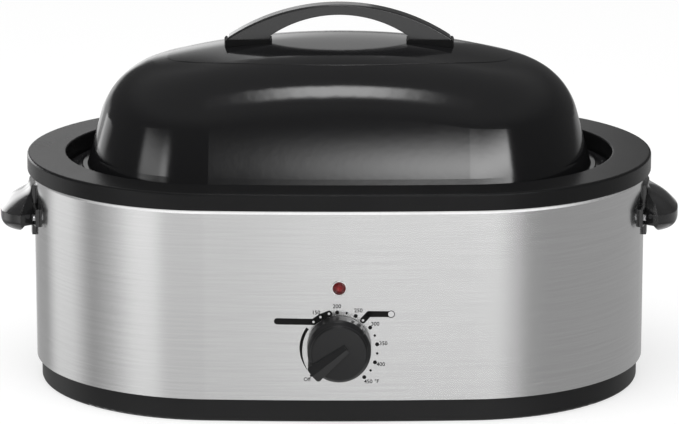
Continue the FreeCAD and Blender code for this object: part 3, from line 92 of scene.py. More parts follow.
class Graph:
    """Adds the nodes of one tree and joins them."""

    def __init__(self, tree: bpy.types.NodeTree) -> None:
        """Keep the node tree to fill."""
        self.tree = tree

    @classmethod
    def fresh(cls, owner: bpy.types.Material | bpy.types.World) -> Graph:
        """Empty a material's or a world's node tree and open it.

        Args:
            owner: The material or the world.

        Returns:
            Its graph.
        """
        owner.use_nodes = True
        owner.node_tree.nodes.clear()
        return cls(owner.node_tree)

    def add(self, kind: str, settings: dict[str, Any] | None = None, **inputs: Any) -> Node:
        """Add a node and fill its sockets.

        Args:
            kind: The node's type without its ShaderNode prefix.
            settings: Properties of the node itself.
            **inputs: Socket values or source sockets; an underscore stands for a space.

        Returns:
            The new node.
        """
        prefix = "NodeGroup" if kind in ("Input", "Output") else "ShaderNode"
        made = self.tree.nodes.new(prefix + kind)
        for name, value in (settings or {}).items():
            setattr(made, name, value)
        return self.feed(made, **inputs)

    def feed(self, node: Node, **inputs: Any) -> Node:
        """Fill a node's sockets by their names.

        Args:
            node: The node.
            **inputs: Socket values or source sockets; an underscore stands for a space.

        Returns:
            The same node.
        """
        for name, value in inputs.items():
            self.fill(node.inputs[name.replace("_", " ")], value)
        return node

    def fill(self, socket: Socket, value: Any) -> None:
        """Link a socket to a source, or set its plain value.

        Args:
            socket: The input to fill.
            value: A source socket, a number, a vector or a colour.
        """
        if isinstance(value, Socket):
            self.tree.links.new(value, socket)
        elif socket.type == "RGBA" and len(value) == 3:
            socket.default_value = (*value, 1.0)
        else:
            socket.default_value = value

    def join(self, kind: str, *values: Any, settings: dict[str, Any] | None = None) -> Node:
        """Add a node and fill its sockets in their order.

        Args:
            kind: The node's type without its ShaderNode prefix.
            *values: Values or sources for its first sockets.
            settings: Properties of the node itself.

        Returns:
            The new node.
        """
        made = self.add(kind, settings)
        for socket, value in zip(made.inputs, values):
            self.fill(socket, value)
        return made

    def math(self, operation: str, *values: Any) -> Socket:
        """Add a maths node with its operation and values, and return its result."""
        return self.join("Math", *values, settings={"operation": operation}).outputs[0]

    def vector(self, operation: str, *values: Any) -> Node:
        """Add a vector maths node with its operation and values."""
        return self.join("VectorMath", *values, settings={"operation": operation})

    def ramp(self, value: Any, low: float, high: float,
             to_low: float = 0.0, to_high: float = 1.0) -> Socket:
        """Map a value from one range to another, with soft ends."""
        return self.add("MapRange", {"interpolation_type": "SMOOTHSTEP"}, Value=value, From_Min=low,
                        From_Max=high, To_Min=to_low, To_Max=to_high).outputs[0]

    def blend(self, share: Any, first: Any, second: Any) -> Socket:
        """Mix two colours.

        Args:
            share: How much of the second colour.
            first: The first colour.
            second: The second colour.

        Returns:
            The mixed colour's socket.
        """
        made = self.add("Mix", {"data_type": "RGBA"})
        for place, value in ((0, share), (6, first), (7, second)):
            self.fill(made.inputs[place], value)
        return made.outputs[2]

    def place(self, scale: Place = (1.0, 1.0, 1.0)) -> Socket:
        """Return the object's own coordinates, in cells per metre."""
        source = self.add("TexCoord").outputs["Object"]
        return self.add("Mapping", Vector=source, Scale=scale).outputs[0]

    def noise(self, place: Any, scale: Any, detail: float = 2.0, roughness: float = 0.5) -> Socket:
        """Add noise between 0 and 1, in cells per unit of the place, and return its value."""
        made = self.add("TexNoise", Vector=place, Scale=scale, Detail=detail, Roughness=roughness)
        return made.outputs["Fac"]


def shaded(tone: Colour, gain: float, lift: float = 0.0) -> Colour:
    """Return a colour multiplied by a gain and lifted, with no channel over 1."""
    return tuple(min(channel * gain + lift, 1.0) for channel in tone)


# --- effects shared by several finishes ---------------------------------------------------


class Effect:
    """A shader node group, built once and placed in each finish that uses it."""

    name = ""
    inputs: tuple[tuple[str, float], ...] = ()
    outputs: tuple[str, ...] = ()

    def group(self) -> bpy.types.NodeTree:
        """Build the group, once.

        Returns:
            The group's tree.
        """
        found = bpy.data.node_groups.get(self.name)
        if found:
            return found
        tree = bpy.data.node_groups.new(self.name, "ShaderNodeTree")
        for label, value in self.inputs:
            socket = tree.interface.new_socket(name=label, in_out="INPUT", socket_type="NodeSocketFloat")
            socket.default_value = value
        for label in self.outputs:
            tree.interface.new_socket(name=label, in_out="OUTPUT", socket_type="NodeSocketFloat")
        graph = Graph(tree)
        source, sink = graph.add("Input"), graph.add("Output")
        graph.feed(sink, **self.draw(graph, source))
        return tree

    def draw(self, graph: Graph, source: Node) -> dict[str, Socket]:
        """Draw the effect from the group's input node, and return the socket of each output."""
        raise NotImplementedError

    def put(self, graph: Graph, **values: float) -> Node:
        """Place the effect in a finish's tree, with values of its inputs."""
        return graph.feed(graph.add("Group", {"node_tree": self.group()}), **values)


class BrushedLines(Effect):
    """Fine level scratches that run round an upright wall, with broader streaks among them."""

    name = "brushed_lines"
    inputs = (("Pitch", 3200.0), ("Length", 16.0))
    outputs = ("Tone", "Height")
    streak_scale: Place = (0.8, 0.8, 0.24)
    fine_share = 0.35

    def draw(self, graph: Graph, source: Node) -> dict[str, Socket]:
        """Stretch noise along the wall.

        Args:
            graph: The group's tree.
            source: The group's input node.

        Returns:
            Tone, the streaks, and Height, the scratches.
        """
        length, pitch = source.outputs["Length"], source.outputs["Pitch"]
        stretch = graph.add("CombineXYZ", X=length, Y=length, Z=pitch).outputs[0]
        along = graph.vector("MULTIPLY", graph.add("TexCoord").outputs["Object"], stretch).outputs[0]
        fine = graph.noise(along, 1.0, 3.0, 0.6)
        broad = graph.noise(graph.vector("MULTIPLY", along, self.streak_scale).outputs[0], 1.0)
        weak = graph.math("MULTIPLY", fine, self.fine_share)
        tone = graph.math("ADD", weak, graph.math("MULTIPLY", broad, 1.0 - self.fine_share))
        return {"Tone": tone, "Height": fine}


class MouldGrain(Effect):
    """The fine spark-eroded grain of a plastic moulding."""

    name = "mould_grain"
    inputs = (("Cells", 2600.0),)
    outputs = ("Height", "Tone")
    cloud = 18.0

    def draw(self, graph: Graph, source: Node) -> dict[str, Socket]:
        """Return Height, the pits, and Tone, a broad cloudiness."""
        place, cells = graph.place(), source.outputs["Cells"]
        return {"Height": graph.noise(place, cells), "Tone": graph.noise(place, self.cloud, 3.0)}


class Handling(Effect):
    """Faint wiping marks and dust that change the gloss from place to place."""

    name = "handling_marks"
    inputs = (("Base", 0.3), ("Spread", 0.06))
    outputs = ("Roughness", "Dust")
    cloud = 14.0
    wipe_scale: Place = (40.0, 40.0, 9.0)
    wipe_share = 0.5
    speckle = 900.0
    speckle_range: Pair = (0.72, 0.8)

    def draw(self, graph: Graph, source: Node) -> dict[str, Socket]:
        """Spread roughness round its base value by cloudy noise.

        Args:
            graph: The group's tree.
            source: The group's input node.

        Returns:
            Roughness, and Dust, a sparse speckle.
        """
        place = graph.place()
        cloud = graph.math("SUBTRACT", graph.noise(place, self.cloud, 4.0, 0.6), 0.5)
        wipe = graph.math("SUBTRACT", graph.noise(graph.place(self.wipe_scale), 1.0), 0.5)
        both = graph.math("ADD", cloud, graph.math("MULTIPLY", wipe, self.wipe_share))
        rough = graph.math("MULTIPLY_ADD", both, source.outputs["Spread"], source.outputs["Base"])
        speck = graph.ramp(graph.noise(place, self.speckle, 1.0), *self.speckle_range)
        return {"Roughness": rough, "Dust": speck}


# --- finishes -----------------------------------------------------------------------------


@dataclass(frozen=True)
class Finish:
    """A named procedural finish; each kind shades itself its own way."""

    name: str

    def build(self) -> bpy.types.Material:
        """Make the material, once.

        Returns:
            The material of this finish.
        """
        label = self.name + "_finish"
        found = bpy.data.materials.get(label)
        if found:
            return found
        material = bpy.data.materials.new(label)
        graph = Graph.fresh(material)
        shader = graph.add("BsdfPrincipled")
        self.shade(graph, shader)
        graph.add("OutputMaterial", Surface=shader.outputs[0])
        return material

    def shade(self, graph: Graph, shader: Node) -> None:
        """Fill the sockets of a material's Principled shader."""
        raise NotImplementedError

    @staticmethod
    def relief(graph: Graph, shader: Node, height: Any, depth: float,
               strength: float = 1.0, edge: float = 0.0) -> None:
        """Give the surface its fine relief, over softened edges where there is a width for them.

        Args:
            graph: The material's tree.
            shader: Its Principled shader.
            height: The relief's source socket.
            depth: The relief's depth, in metres.
            strength: How much of it shows.
            edge: Width of the softened edge, in metres.
        """
        bump = graph.add("Bump", Height=height, Strength=strength, Distance=depth)
        if edge:
            graph.feed(bump, Normal=graph.add("Bevel", {"samples": 4}, Radius=edge).outputs[0])
        graph.feed(shader, Normal=bump.outputs[0])


@dataclass(frozen=True)
class BrushedSteel(Finish):
    """Stainless steel sheet, brushed level all round."""

    tone: Colour = (0.63, 0.63, 0.63)
    roughness: float = 0.19
    stretch: float = 0.6
    depth: float = 0.000004
    relief_share: float = 0.5
    spread: float = 0.03
    streak: float = 0.035
    streak_range: Pair = (0.36, 0.64)
    streak_gloss: float = 0.02
    gloss_range: Pair = (0.3, 0.7)
    quarter_turn: float = 0.25

    def shade(self, graph: Graph, shader: Node) -> None:
        """Shade a metal whose gloss is drawn out across the brushing.

        Args:
            graph: The material's tree.
            shader: Its Principled shader.
        """
        lines = BrushedLines().put(graph)
        marks = Handling().put(graph, Base=self.roughness, Spread=self.spread)
        tone = lines.outputs["Tone"]
        dark, light = shaded(self.tone, 1.0 - self.streak), shaded(self.tone, 1.0 + self.streak)
        colour = graph.blend(graph.ramp(tone, *self.streak_range), dark, light)
        gloss = graph.ramp(tone, *self.gloss_range, -self.streak_gloss, self.streak_gloss)
        rough = graph.math("ADD", marks.outputs["Roughness"], gloss)
        tangent = graph.add("Tangent", {"direction_type": "RADIAL", "axis": "Z"}).outputs[0]
        graph.feed(shader, Base_Color=colour, Roughness=rough, Metallic=1.0, Anisotropic=self.stretch,
                   Anisotropic_Rotation=self.quarter_turn, Tangent=tangent)
        self.relief(graph, shader, lines.outputs["Height"], self.depth, self.relief_share)


@dataclass(frozen=True)
class Moulding(Finish):
    """Satin black moulded plastic."""

    tone: Colour = (0.016, 0.016, 0.017)
    roughness: float = 0.34
    gloss: float = 0.25
    coat: float = 0.0
    grain: float = 0.000006
    edge: float = 0.0005
    spread: float = 0.07
    dust: Colour = (0.12, 0.12, 0.115)
    dust_share: float = 0.12
    coat_roughness: float = 0.06

    def shade(self, graph: Graph, shader: Node) -> None:
        """Shade grained plastic with softened edges.

        Args:
            graph: The material's tree.
            shader: Its Principled shader.
        """
        grain = MouldGrain().put(graph)
        marks = Handling().put(graph, Base=self.roughness, Spread=self.spread)
        colour = graph.blend(grain.outputs["Tone"], self.tone, shaded(self.tone, 1.35, 0.002))
        dust = graph.math("MULTIPLY", marks.outputs["Dust"], self.dust_share)
        colour = graph.blend(dust, colour, self.dust)
        graph.feed(shader, Base_Color=colour, Roughness=marks.outputs["Roughness"],
                   Specular_IOR_Level=self.gloss, Coat_Weight=self.coat,
                   Coat_Roughness=self.coat_roughness)
        self.relief(graph, shader, grain.outputs["Height"], self.grain, edge=self.edge)


@dataclass(frozen=True)
class Enamel(Finish):
    """Gloss black enamel on pressed steel, with the faint ripple of a fired coat."""

    tone: Colour = (0.0075, 0.0075, 0.008)
    roughness: float = 0.11
    spread: float = 0.035
    ripple: float = 0.00002
    ripple_scale: float = 160.0
    cloud: float = 9.0
    flecks: float = 0.0
    fleck_tone: Colour = (0.5, 0.5, 0.5)
    fleck_scale: float = 620.0
    fleck_edge: Pair = (0.16, 0.24)
    patch_scale: float = 210.0
    patch_edge: Pair = (0.56, 0.6)
    edge: float = 0.0004
    belly_radius: float = 0.0
    belly_level: float = 0.0
    belly_reach: float = 0.03
    belly_blend: float = 0.02

    def shade(self, graph: Graph, shader: Node) -> None:
        """Shade the coat, with pale flecks and the wall's slight belly where the finish has them.

        Args:
            graph: The material's tree.
            shader: Its Principled shader.
        """
        marks = Handling().put(graph, Base=self.roughness, Spread=self.spread)
        place = graph.place()
        colour = graph.blend(graph.noise(place, self.cloud), self.tone, shaded(self.tone, 1.3))
        if self.flecks:
            cells = graph.add("TexVoronoi", Vector=place, Scale=self.fleck_scale)
            spot = graph.ramp(cells.outputs["Distance"], *self.fleck_edge, 1.0, 0.0)
            patch = graph.noise(place, self.patch_scale, 1.0)
            some = graph.ramp(patch, *self.patch_edge, 0.0, self.flecks)
            colour = graph.blend(graph.math("MULTIPLY", spot, some), colour, self.fleck_tone)
        graph.feed(shader, Base_Color=colour, Roughness=marks.outputs["Roughness"])
        ripple = graph.noise(place, self.ripple_scale, 1.0)
        self.relief(graph, shader, ripple, self.ripple, edge=self.edge)
        if self.belly_radius:
            self.add_belly(graph, shader)

    def add_belly(self, graph: Graph, shader: Node) -> None:
        """Let the upright wall catch light as if it bulged slightly between foot and shoulder.

        Args:
            graph: The material's tree.
            shader: Its Principled shader, whose normal is already set.
        """
        level = graph.add("SeparateXYZ", Vector=graph.place()).outputs["Z"]
        rise = graph.math("MAXIMUM", graph.math("SUBTRACT", level, self.belly_level), -self.belly_reach)
        near = graph.math("SMOOTH_MIN", rise, self.belly_reach, self.belly_blend)
        bulge = graph.math("MULTIPLY", graph.math("MULTIPLY", near, near), -0.5 / self.belly_radius)
        before = shader.inputs["Normal"].links[0].from_socket
        bump = graph.add("Bump", Height=bulge, Strength=1.0, Distance=1.0, Normal=before)
        graph.feed(shader, Normal=bump.outputs[0])


@dataclass(frozen=True)
class SheetMetal(Finish):
    """Plain metal: rolled, plated or turned, with a choice of spangle."""

    tone: Colour = (0.6, 0.6, 0.6)
    roughness: float = 0.35
    spangle: float = 0.0
    edge: float = 0.0003
    spread: float = 0.12
    rolling: float = 60.0
    crystals: float = 140.0
    depth: float = 0.00001

    def shade(self, graph: Graph, shader: Node) -> None:
        """Shade the metal with its crystals and rolling marks.

        Args:
            graph: The material's tree.
            shader: Its Principled shader.
        """
        marks = Handling().put(graph, Base=self.roughness, Spread=self.spread)
        place = graph.place()
        shade = graph.noise(place, self.rolling, 4.0, 0.65)
        rough: Any = marks.outputs["Roughness"]
        if self.spangle:
            crystals = graph.add("TexVoronoi", Vector=place, Scale=self.crystals)
            flake = graph.add("SeparateColor", Color=crystals.outputs["Color"]).outputs[0]
            shade, half = (graph.math("MULTIPLY", part, 0.5) for part in (shade, flake))
            shade = graph.math("ADD", shade, half)
            rough = graph.math("MULTIPLY_ADD", flake, self.spangle, rough)
        colour = graph.blend(shade, shaded(self.tone, 0.82), shaded(self.tone, 1.1))
        graph.feed(shader, Base_Color=colour, Roughness=rough, Metallic=1.0)
        self.relief(graph, shader, shade, self.depth, edge=self.edge)


@dataclass(frozen=True)
class Fibre(Finish):
    """Woven or matted glass fibre."""

    tone: Colour = (0.8, 0.77, 0.66)
    weave: bool = False
    threads: tuple[tuple[str, float], ...] = (("Z", 260.0), ("X", 200.0))
    waver: float = 0.6
    tangle: float = 55.0
    strand_scale: Place = (900.0, 900.0, 120.0)
    roughness: float = 0.95
    depth: float = 0.0006
    relief_share: float = 0.7

    def shade(self, graph: Graph, shader: Node) -> None:
        """Shade threads or a tangle, with painted shade where they lie low.

        Args:
            graph: The material's tree.
            shader: Its Principled shader.
        """
        if self.weave:
            warp, weft = (
                graph.add("TexWave", {"bands_direction": way}, Vector=graph.place(), Scale=scale,
                          Distortion=self.waver).outputs["Fac"]
                for way, scale in self.threads
            )
            height = graph.math("MAXIMUM", warp, weft)
        else:
            twist = graph.noise(graph.place(), self.tangle, 5.0, 0.7)
            strands = graph.noise(graph.place(self.strand_scale), 1.0, 3.0)
            height = graph.math("MULTIPLY", twist, strands)
        # painted shade: darker where the threads or the tangle lie low
        colour = graph.blend(graph.ramp(height, 0.1, 0.6), shaded(self.tone, 0.62), self.tone)
        graph.feed(shader, Base_Color=colour, Roughness=self.roughness)
        self.relief(graph, shader, height, self.depth, self.relief_share)


@dataclass(frozen=True)
class Ware(Finish):
    """Plain non-metal parts: rubber, ceramic, phenolic and printing ink."""

    tone: Colour = (0.03, 0.03, 0.03)
    roughness: float = 0.6
    depth: float = 0.00002
    gloss: float = 0.3
    cells: float = 1400.0
    spread: float = 0.1
    relief_share: float = 0.6

    def shade(self, graph: Graph, shader: Node) -> None:
        """Shade a softly mottled surface.

        Args:
            graph: The material's tree.
            shader: Its Principled shader.
        """
        grain = MouldGrain().put(graph, Cells=self.cells)
        marks = Handling().put(graph, Base=self.roughness, Spread=self.spread)
        colour = graph.blend(grain.outputs["Tone"], shaded(self.tone, 0.8), self.tone)
        graph.feed(shader, Base_Color=colour, Roughness=marks.outputs["Roughness"],
                   Specular_IOR_Level=self.gloss)
        self.relief(graph, shader, grain.outputs["Height"], self.depth, self.relief_share)


@dataclass(frozen=True)
class SignalLens(Finish):
    """Red see-through plastic of the lamp, cut with fine rings, with a painted glow at its centre."""

    tone: Colour = (0.45, 0.012, 0.016)
    centre: Place = (0.0, 0.0, 0.0)
    pitch: float = 0.9 * MM
    facet_share: float = 0.5
    glow_reach: float = 4.2 * MM
    roughness: float = 0.08
    see_through: float = 0.35
    bending: float = 1.49

    def shade(self, graph: Graph, shader: Node) -> None:
        """Shade tinted plastic with ring-shaped facets round its centre.

        Args:
            graph: The material's tree.
            shader: Its Principled shader.
        """
        shift = tuple(-part for part in self.centre)
        place = graph.add("Mapping", Vector=graph.add("TexCoord").outputs["Object"], Location=shift)
        flat = graph.vector("MULTIPLY", place.outputs[0], (1.0, 0.0, 1.0)).outputs[0]
        reach = graph.vector("LENGTH", flat).outputs["Value"]
        # painted glow: the base colour is brightest at the lens's centre and darkens towards its rim
        glow = graph.ramp(reach, 0.0, self.glow_reach, 1.0, 0.0)
        graph.feed(shader, Base_Color=graph.blend(glow, shaded(self.tone, 0.35), self.tone),
                   Roughness=self.roughness, Transmission_Weight=self.see_through, IOR=self.bending)
        rings = graph.math("PINGPONG", reach, self.pitch / 2)
        self.relief(graph, shader, rings, 1.0, self.facet_share)


class Finishes:
    """Every finish of the oven."""

    steel = BrushedSteel("steel_wrap")
    zinc = SheetMetal("zinc_plate", (0.56, 0.56, 0.57), 0.36)
    wire = SheetMetal("chromed_wire", (0.78, 0.78, 0.79), 0.13)
    rim = Moulding("rim_moulding", (0.008, 0.008, 0.0083), 0.26, gloss=0.14, edge=0.0014)
    base = Moulding("base_moulding", (0.008, 0.008, 0.0083), 0.4)
    handle = Moulding("handle_moulding", (0.011, 0.011, 0.0115), 0.18, gloss=0.45, coat=0.4, edge=0.0011)
    knob = Moulding("knob_moulding", (0.011, 0.011, 0.0115), 0.33, gloss=0.3, grain=5e-7, edge=0.0007)
    lid = Enamel("lid_enamel", belly_radius=0.39, belly_level=0.2375)
    pan = Enamel("pan_enamel", (0.012, 0.012, 0.013), 0.2, flecks=0.35)
    well = SheetMetal("well_sheet", (0.6, 0.6, 0.59), 0.38, spangle=0.16)
    reflector = SheetMetal("reflector_sheet", (0.72, 0.72, 0.73), 0.24)
    band = Fibre("band_sleeve", (0.74, 0.71, 0.62), weave=True, depth=0.0003)
    blanket = Fibre("glass_wool", (0.86, 0.81, 0.64), depth=0.002)
    rubber = Ware("foot_rubber", (0.03, 0.03, 0.03), 0.75)
    brass = SheetMetal("brass", (0.72, 0.55, 0.28), 0.3)
    copper = SheetMetal("copper", (0.75, 0.42, 0.28), 0.3)
    phenolic = Ware("phenolic", (0.07, 0.045, 0.03), 0.45)
    ceramic = Ware("steatite", (0.78, 0.76, 0.7), 0.4)
    # partly painted halo: the collar is real, but its near-white, faintly pink tone stands in for the red
    # lens's light on it
    bezel = SheetMetal("lamp_bezel", (0.97, 0.95, 0.95), 0.3)
    ink = Ware("black_ink", (0.008, 0.008, 0.008), 0.6, depth=0.000002, gloss=0.15)
    white_ink = Ware("white_ink", (0.85, 0.85, 0.85), 0.5, depth=0.000002, gloss=0.15)
    # painted highlight: the wrap's flared strip in a metal far paler than the wrap's steel, so it shows
    # as a white line under the rim
    bead = SheetMetal("flared_edge_painted_highlight", (0.97, 0.97, 0.97), 0.16)
    pad = Moulding("pad_moulding", (0.005, 0.005, 0.0052), 0.45, gloss=0.1)


# --- modelling ----------------------------------------------------------------------------


class Bench:
    """Small modelling moves, made with Blender's own operators.

    The hair is a length too short to see, and the last slice is the least share of a pitch that
    is worth a cut.
    """

    hair = 1e-6
    last_slice = 0.3

    @staticmethod
    def clear() -> None:
        """Leave no object selected."""
        bpy.ops.object.select_all(action="DESELECT")

    @classmethod
    def pick(cls, *pieces: Piece) -> None:
        """Pick pieces, the first of them active.

        Args:
            *pieces: The objects to pick.
        """
        cls.clear()
        for piece in pieces:
            piece.select_set(True)
        bpy.context.view_layer.objects.active = pieces[0]

    @classmethod
    @contextmanager
    def editing(cls, piece: Piece,
                test: Callable[[bpy.types.MeshVertex], bool] | None = None) -> Iterator[None]:
        """Open a piece in edit mode with its points selected, and close it afterwards.

        Args:
            piece: The object to open.
            test: Says which points to select; without it all of them are.

        Yields:
            Nothing, while the piece is open.
        """
        cls.pick(piece)
        bpy.ops.object.mode_set(mode="EDIT")
        bpy.ops.mesh.select_all(action="DESELECT" if test else "SELECT")
        if test:
            bpy.ops.object.mode_set(mode="OBJECT")
            for vertex in piece.data.vertices:
                vertex.select = test(vertex)
            bpy.ops.object.mode_set(mode="EDIT")
        yield
        bpy.ops.object.mode_set(mode="OBJECT")

    @staticmethod
    def rename(piece: Piece, name: str) -> Piece:
        """Give a piece and its mesh a name, and return the piece."""
        piece.name = piece.data.name = name
        return piece

    @classmethod
    def copy(cls, node: Piece, name: str) -> Piece:
        """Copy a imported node, mesh and all, as a new piece of its own.

        Args:
            node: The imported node.
            name: The new piece's name.

        Returns:
            The copy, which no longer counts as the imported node.
        """
        cls.pick(node)
        bpy.ops.object.duplicate()
        piece = cls.rename(bpy.context.view_layer.objects.active, name)
        del piece["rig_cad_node"]
        return piece

    @classmethod
    def settle(cls, piece: Piece) -> Piece:
        """Bake a piece's own place and turn into its mesh.

        Args:
            piece: The object to settle.

        Returns:
            The same object.
        """
        cls.pick(piece)
        bpy.ops.object.transform_apply(location=True, rotation=True, scale=True)
        return piece

    @classmethod
    def join(cls, pieces: list[Piece], name: str) -> Piece:
        """Join pieces into one object.

        Args:
            pieces: The objects to join.
            name: The joined object's name.

        Returns:
            The joined object.
        """
        cls.pick(*pieces)
        bpy.ops.object.join()
        return cls.rename(bpy.context.view_layer.objects.active, name)

    @classmethod
    def modify(cls, piece: Piece, kind: str, **settings: Any) -> None:
        """Add a modifier and apply it.

        Args:
            piece: The object.
            kind: The modifier's type.
            **settings: The modifier's properties.
        """
        cls.pick(piece)
        modifier = piece.modifiers.new(kind.lower(), kind)
        for name, value in settings.items():
            setattr(modifier, name, value)
        bpy.ops.object.modifier_apply(modifier=modifier.name)

    @classmethod
    def smooth(cls, piece: Piece, degrees: float) -> None:
        """Shade a piece smooth where its faces meet at less than an angle."""
        cls.pick(piece)
        bpy.ops.object.shade_smooth_by_angle(angle=math.radians(degrees))

    @staticmethod
    def coat(piece: Piece, finish: Finish) -> None:
        """Give a new piece its one finish."""
        piece.data.materials.clear()
        piece.data.materials.append(finish.build())

    @classmethod
    def point(cls, x: float, z: float) -> Piece:
        """Add a single point on the plane y = 0, to extrude and spin.

        Args:
            x: Its place across the oven.
            z: Its level.

        Returns:
            The new point.
        """
        cls.clear()
        bpy.ops.mesh.primitive_plane_add(size=1.0, location=(x, 0.0, z))
        piece = cls.settle(bpy.context.view_layer.objects.active)
        with cls.editing(piece):
            bpy.ops.mesh.merge(type="CENTER")
        return piece

    @classmethod
    def disc(cls, place: Vector, radius: float, sides: int = 28) -> Piece:
        """Add a flat disc that faces the front, on the plane y = 0.

        Args:
            place: Its centre's x and z.
            radius: Its radius.
            sides: Edges round it.

        Returns:
            The new disc.
        """
        cls.clear()
        bpy.ops.mesh.primitive_circle_add(vertices=sides, radius=radius, fill_type="NGON",
                                          location=(place.x, 0.0, place.y), rotation=FACING_FRONT)
        return cls.settle(bpy.context.view_layer.objects.active)

    @classmethod
    def pills(cls, corners: list[Vector], width: float) -> list[Piece]:
        """Draw flat bars with round ends from corner to corner, facing the front.

        Args:
            corners: The ends' centres, as x and z.
            width: The bars' width.

        Returns:
            The new bars.
        """
        bars = []
        for start, end in zip(corners, corners[1:]):
            bar = cls.disc(Vector((0.0, 0.0)), width / 2)
            run = end - start
            with cls.editing(bar, lambda vertex: vertex.co.x > cls.hair):
                bpy.ops.transform.translate(value=(run.length, 0.0, 0.0))
            bar.rotation_euler = (0.0, -math.atan2(run.y, run.x), 0.0)
            bar.location = (start.x, 0.0, start.y)
            bars.append(cls.settle(bar))
        return bars

    @classmethod
    def slice_upright(cls, piece: Piece, pitch: float) -> None:
        """Cut a flat piece by upright planes, so that it can follow a curved wall.

        Args:
            piece: The flat object.
            pitch: From cut to cut.
        """
        xs = [vertex.co.x for vertex in piece.data.vertices]
        x = min(xs) + pitch
        with cls.editing(piece):
            while x < max(xs) - pitch * cls.last_slice:
                bpy.ops.mesh.select_all(action="SELECT")
                bpy.ops.mesh.bisect(plane_co=(x, 0.0, 0.0), plane_no=(1.0, 0.0, 0.0))
                x += pitch


@dataclass
class Printing:
    """The dial's scale, printed on the steel round the knob.

    Angles are in degrees, clockwise from straight down. Offsets are across and upwards.
    """

    nodes: dict[str, Piece]
    dial_axis: Vector
    below_axis: float = 2.4 * MM
    circle: float = 33.4 * MM
    lettering: float = 38.8 * MM
    big_dot: float = 1.75 * MM
    small_dot: float = 1.1 * MM
    digit_height: float = 4.9 * MM
    stroke: float = 0.015
    curve_steps: int = 3
    first_reading: int = 150
    last_reading: int = 450
    step: int = 50
    step_angle: float = 28.4
    first_angle: float = 148.7
    dotless: tuple[int, ...] = (150, 175, 275)
    word_share: float = 0.95
    off_angle: float = 45.8
    off_dot_out: float = 0.8 * MM
    off_word_out: float = 0.4 * MM
    unit_offset: Pair = (7.4 * MM, 0.2 * MM)
    bar_width: float = 5.7 * MM
    low_windows: tuple[float, ...] = (137.9, 150.7, 164.5)
    low_tail: Pair = (-31.6 * MM, 0.4 * MM)
    high_share: float = 0.95
    high_foot: float = 218.3
    high_knee: tuple[float, float] = (219.0, 41.0 * MM)
    high_tail: Pair = (19.4 * MM, -0.2 * MM)
    high_bulb: float = 0.58
    high_window: float = 0.46
    arc_start: float = 124.6
    arc_end: float = 56.7
    arc_steps: int = 24
    arc_width: float = 2.7 * MM
    arc_tip: float = 0.16
    arc_growth: float = 1.8
    slice_pitch: float = 3.0 * MM
    approach: float = 20.0 * MM
    stand_off: float = 0.02 * MM
    thickness: float = 0.03 * MM
    window_lift: float = 1.6

    def on_circle(self, angle: float, radius: float) -> Vector:
        """Find a point of the scale.

        Args:
            angle: Its direction from the scale's centre.
            radius: Its distance from there.

        Returns:
            Its x and z.
        """
        turn = math.radians(angle)
        centre = self.dial_axis.z - self.below_axis
        return Vector((self.dial_axis.x - math.sin(turn) * radius, centre - math.cos(turn) * radius))

    def angle_of(self, reading: int) -> float:
        """Return the angle at which a reading stands."""
        return self.first_angle + (reading - self.first_reading) / self.step * self.step_angle

    def digits(self, text: str, place: Vector, height: float) -> Piece:
        """Set flat type, centred at a place.

        Args:
            text: The characters.
            place: The centre's x and z.
            height: The type's size.

        Returns:
            The type as a mesh.
        """
        Bench.clear()
        bpy.ops.object.text_add(location=(place.x, 0.0, place.y), rotation=FACING_FRONT)
        letters = bpy.context.view_layer.objects.active
        letters.data.body = text
        letters.data.size = height
        letters.data.align_x, letters.data.align_y = "CENTER", "CENTER"
        letters.data.resolution_u = self.curve_steps
        letters.data.offset = self.stroke * height
        Bench.pick(letters)
        bpy.ops.object.convert(target="MESH")
        return Bench.settle(bpy.context.view_layer.objects.active)

    def readings(self) -> list[Piece]:
        """Print the dots and numbers of the readings.

        Returns:
            The marks, flat on the plane y = 0.
        """
        marks = []
        for reading in range(self.first_reading, self.last_reading + 1, self.step // 2):
            angle = self.angle_of(reading)
            whole = reading % self.step == 0
            if reading not in self.dotless:
                size = self.big_dot if whole else self.small_dot
                marks.append(Bench.disc(self.on_circle(angle, self.circle), size))
            if whole:
                place = self.on_circle(angle, self.lettering)
                marks.append(self.digits(str(reading), place, self.digit_height))
        return marks

    def words(self) -> list[Piece]:
        """Print the dot and the word of the off position, and the unit.

        Returns:
            The marks, flat on the plane y = 0.
        """
        height = self.digit_height * self.word_share
        dot = self.on_circle(self.off_angle, self.circle + self.off_dot_out)
        word = self.on_circle(self.off_angle, self.lettering + self.off_word_out)
        last = self.on_circle(self.angle_of(self.last_reading), self.lettering)
        unit = last + Vector(self.unit_offset)
        return [Bench.disc(dot, self.small_dot), self.digits("Off", word, height),
                self.digits("°F", unit, height)]

    def tapered_arc(self) -> Piece:
        """Sweep the arc beside the knob that thins towards off.

        Returns:
            The flat arc.
        """
        start, centre = self.on_circle(self.arc_start, self.circle), self.on_circle(self.arc_start, 0.0)
        middle = Vector((centre.x, 0.0, centre.y))
        sweep = self.arc_start - self.arc_end
        out = (start - centre).normalized()
        wide = self.arc_width
        arc = Bench.point(start.x, start.y)
        with Bench.editing(arc):
            bpy.ops.mesh.extrude_vertices_move(
                TRANSFORM_OT_translate={"value": (out.x * wide, 0.0, out.y * wide)})
            bpy.ops.mesh.select_all(action="SELECT")
            bpy.ops.transform.translate(value=(-out.x * wide / 2, 0.0, -out.y * wide / 2))
            bpy.ops.mesh.spin(steps=self.arc_steps, angle=math.radians(sweep), center=middle,
                              axis=(0.0, 1.0, 0.0))
        for vertex in arc.data.vertices:
            reach = vertex.co - middle
            share = min(max((self.bearing(reach) - self.arc_end) / sweep, 0.0), 1.0)
            thin = self.arc_tip + (1.0 - self.arc_tip) * min(share * self.arc_growth, 1.0)
            reach.length = self.circle + (reach.length - self.circle) * thin
            vertex.co = middle + reach
        return arc

    @staticmethod
    def bearing(reach: Vector) -> float:
        """Return the angle of a direction in the plane of the front, from 0 to 360."""
        return math.degrees(math.atan2(-reach.x, -reach.z)) % 360.0

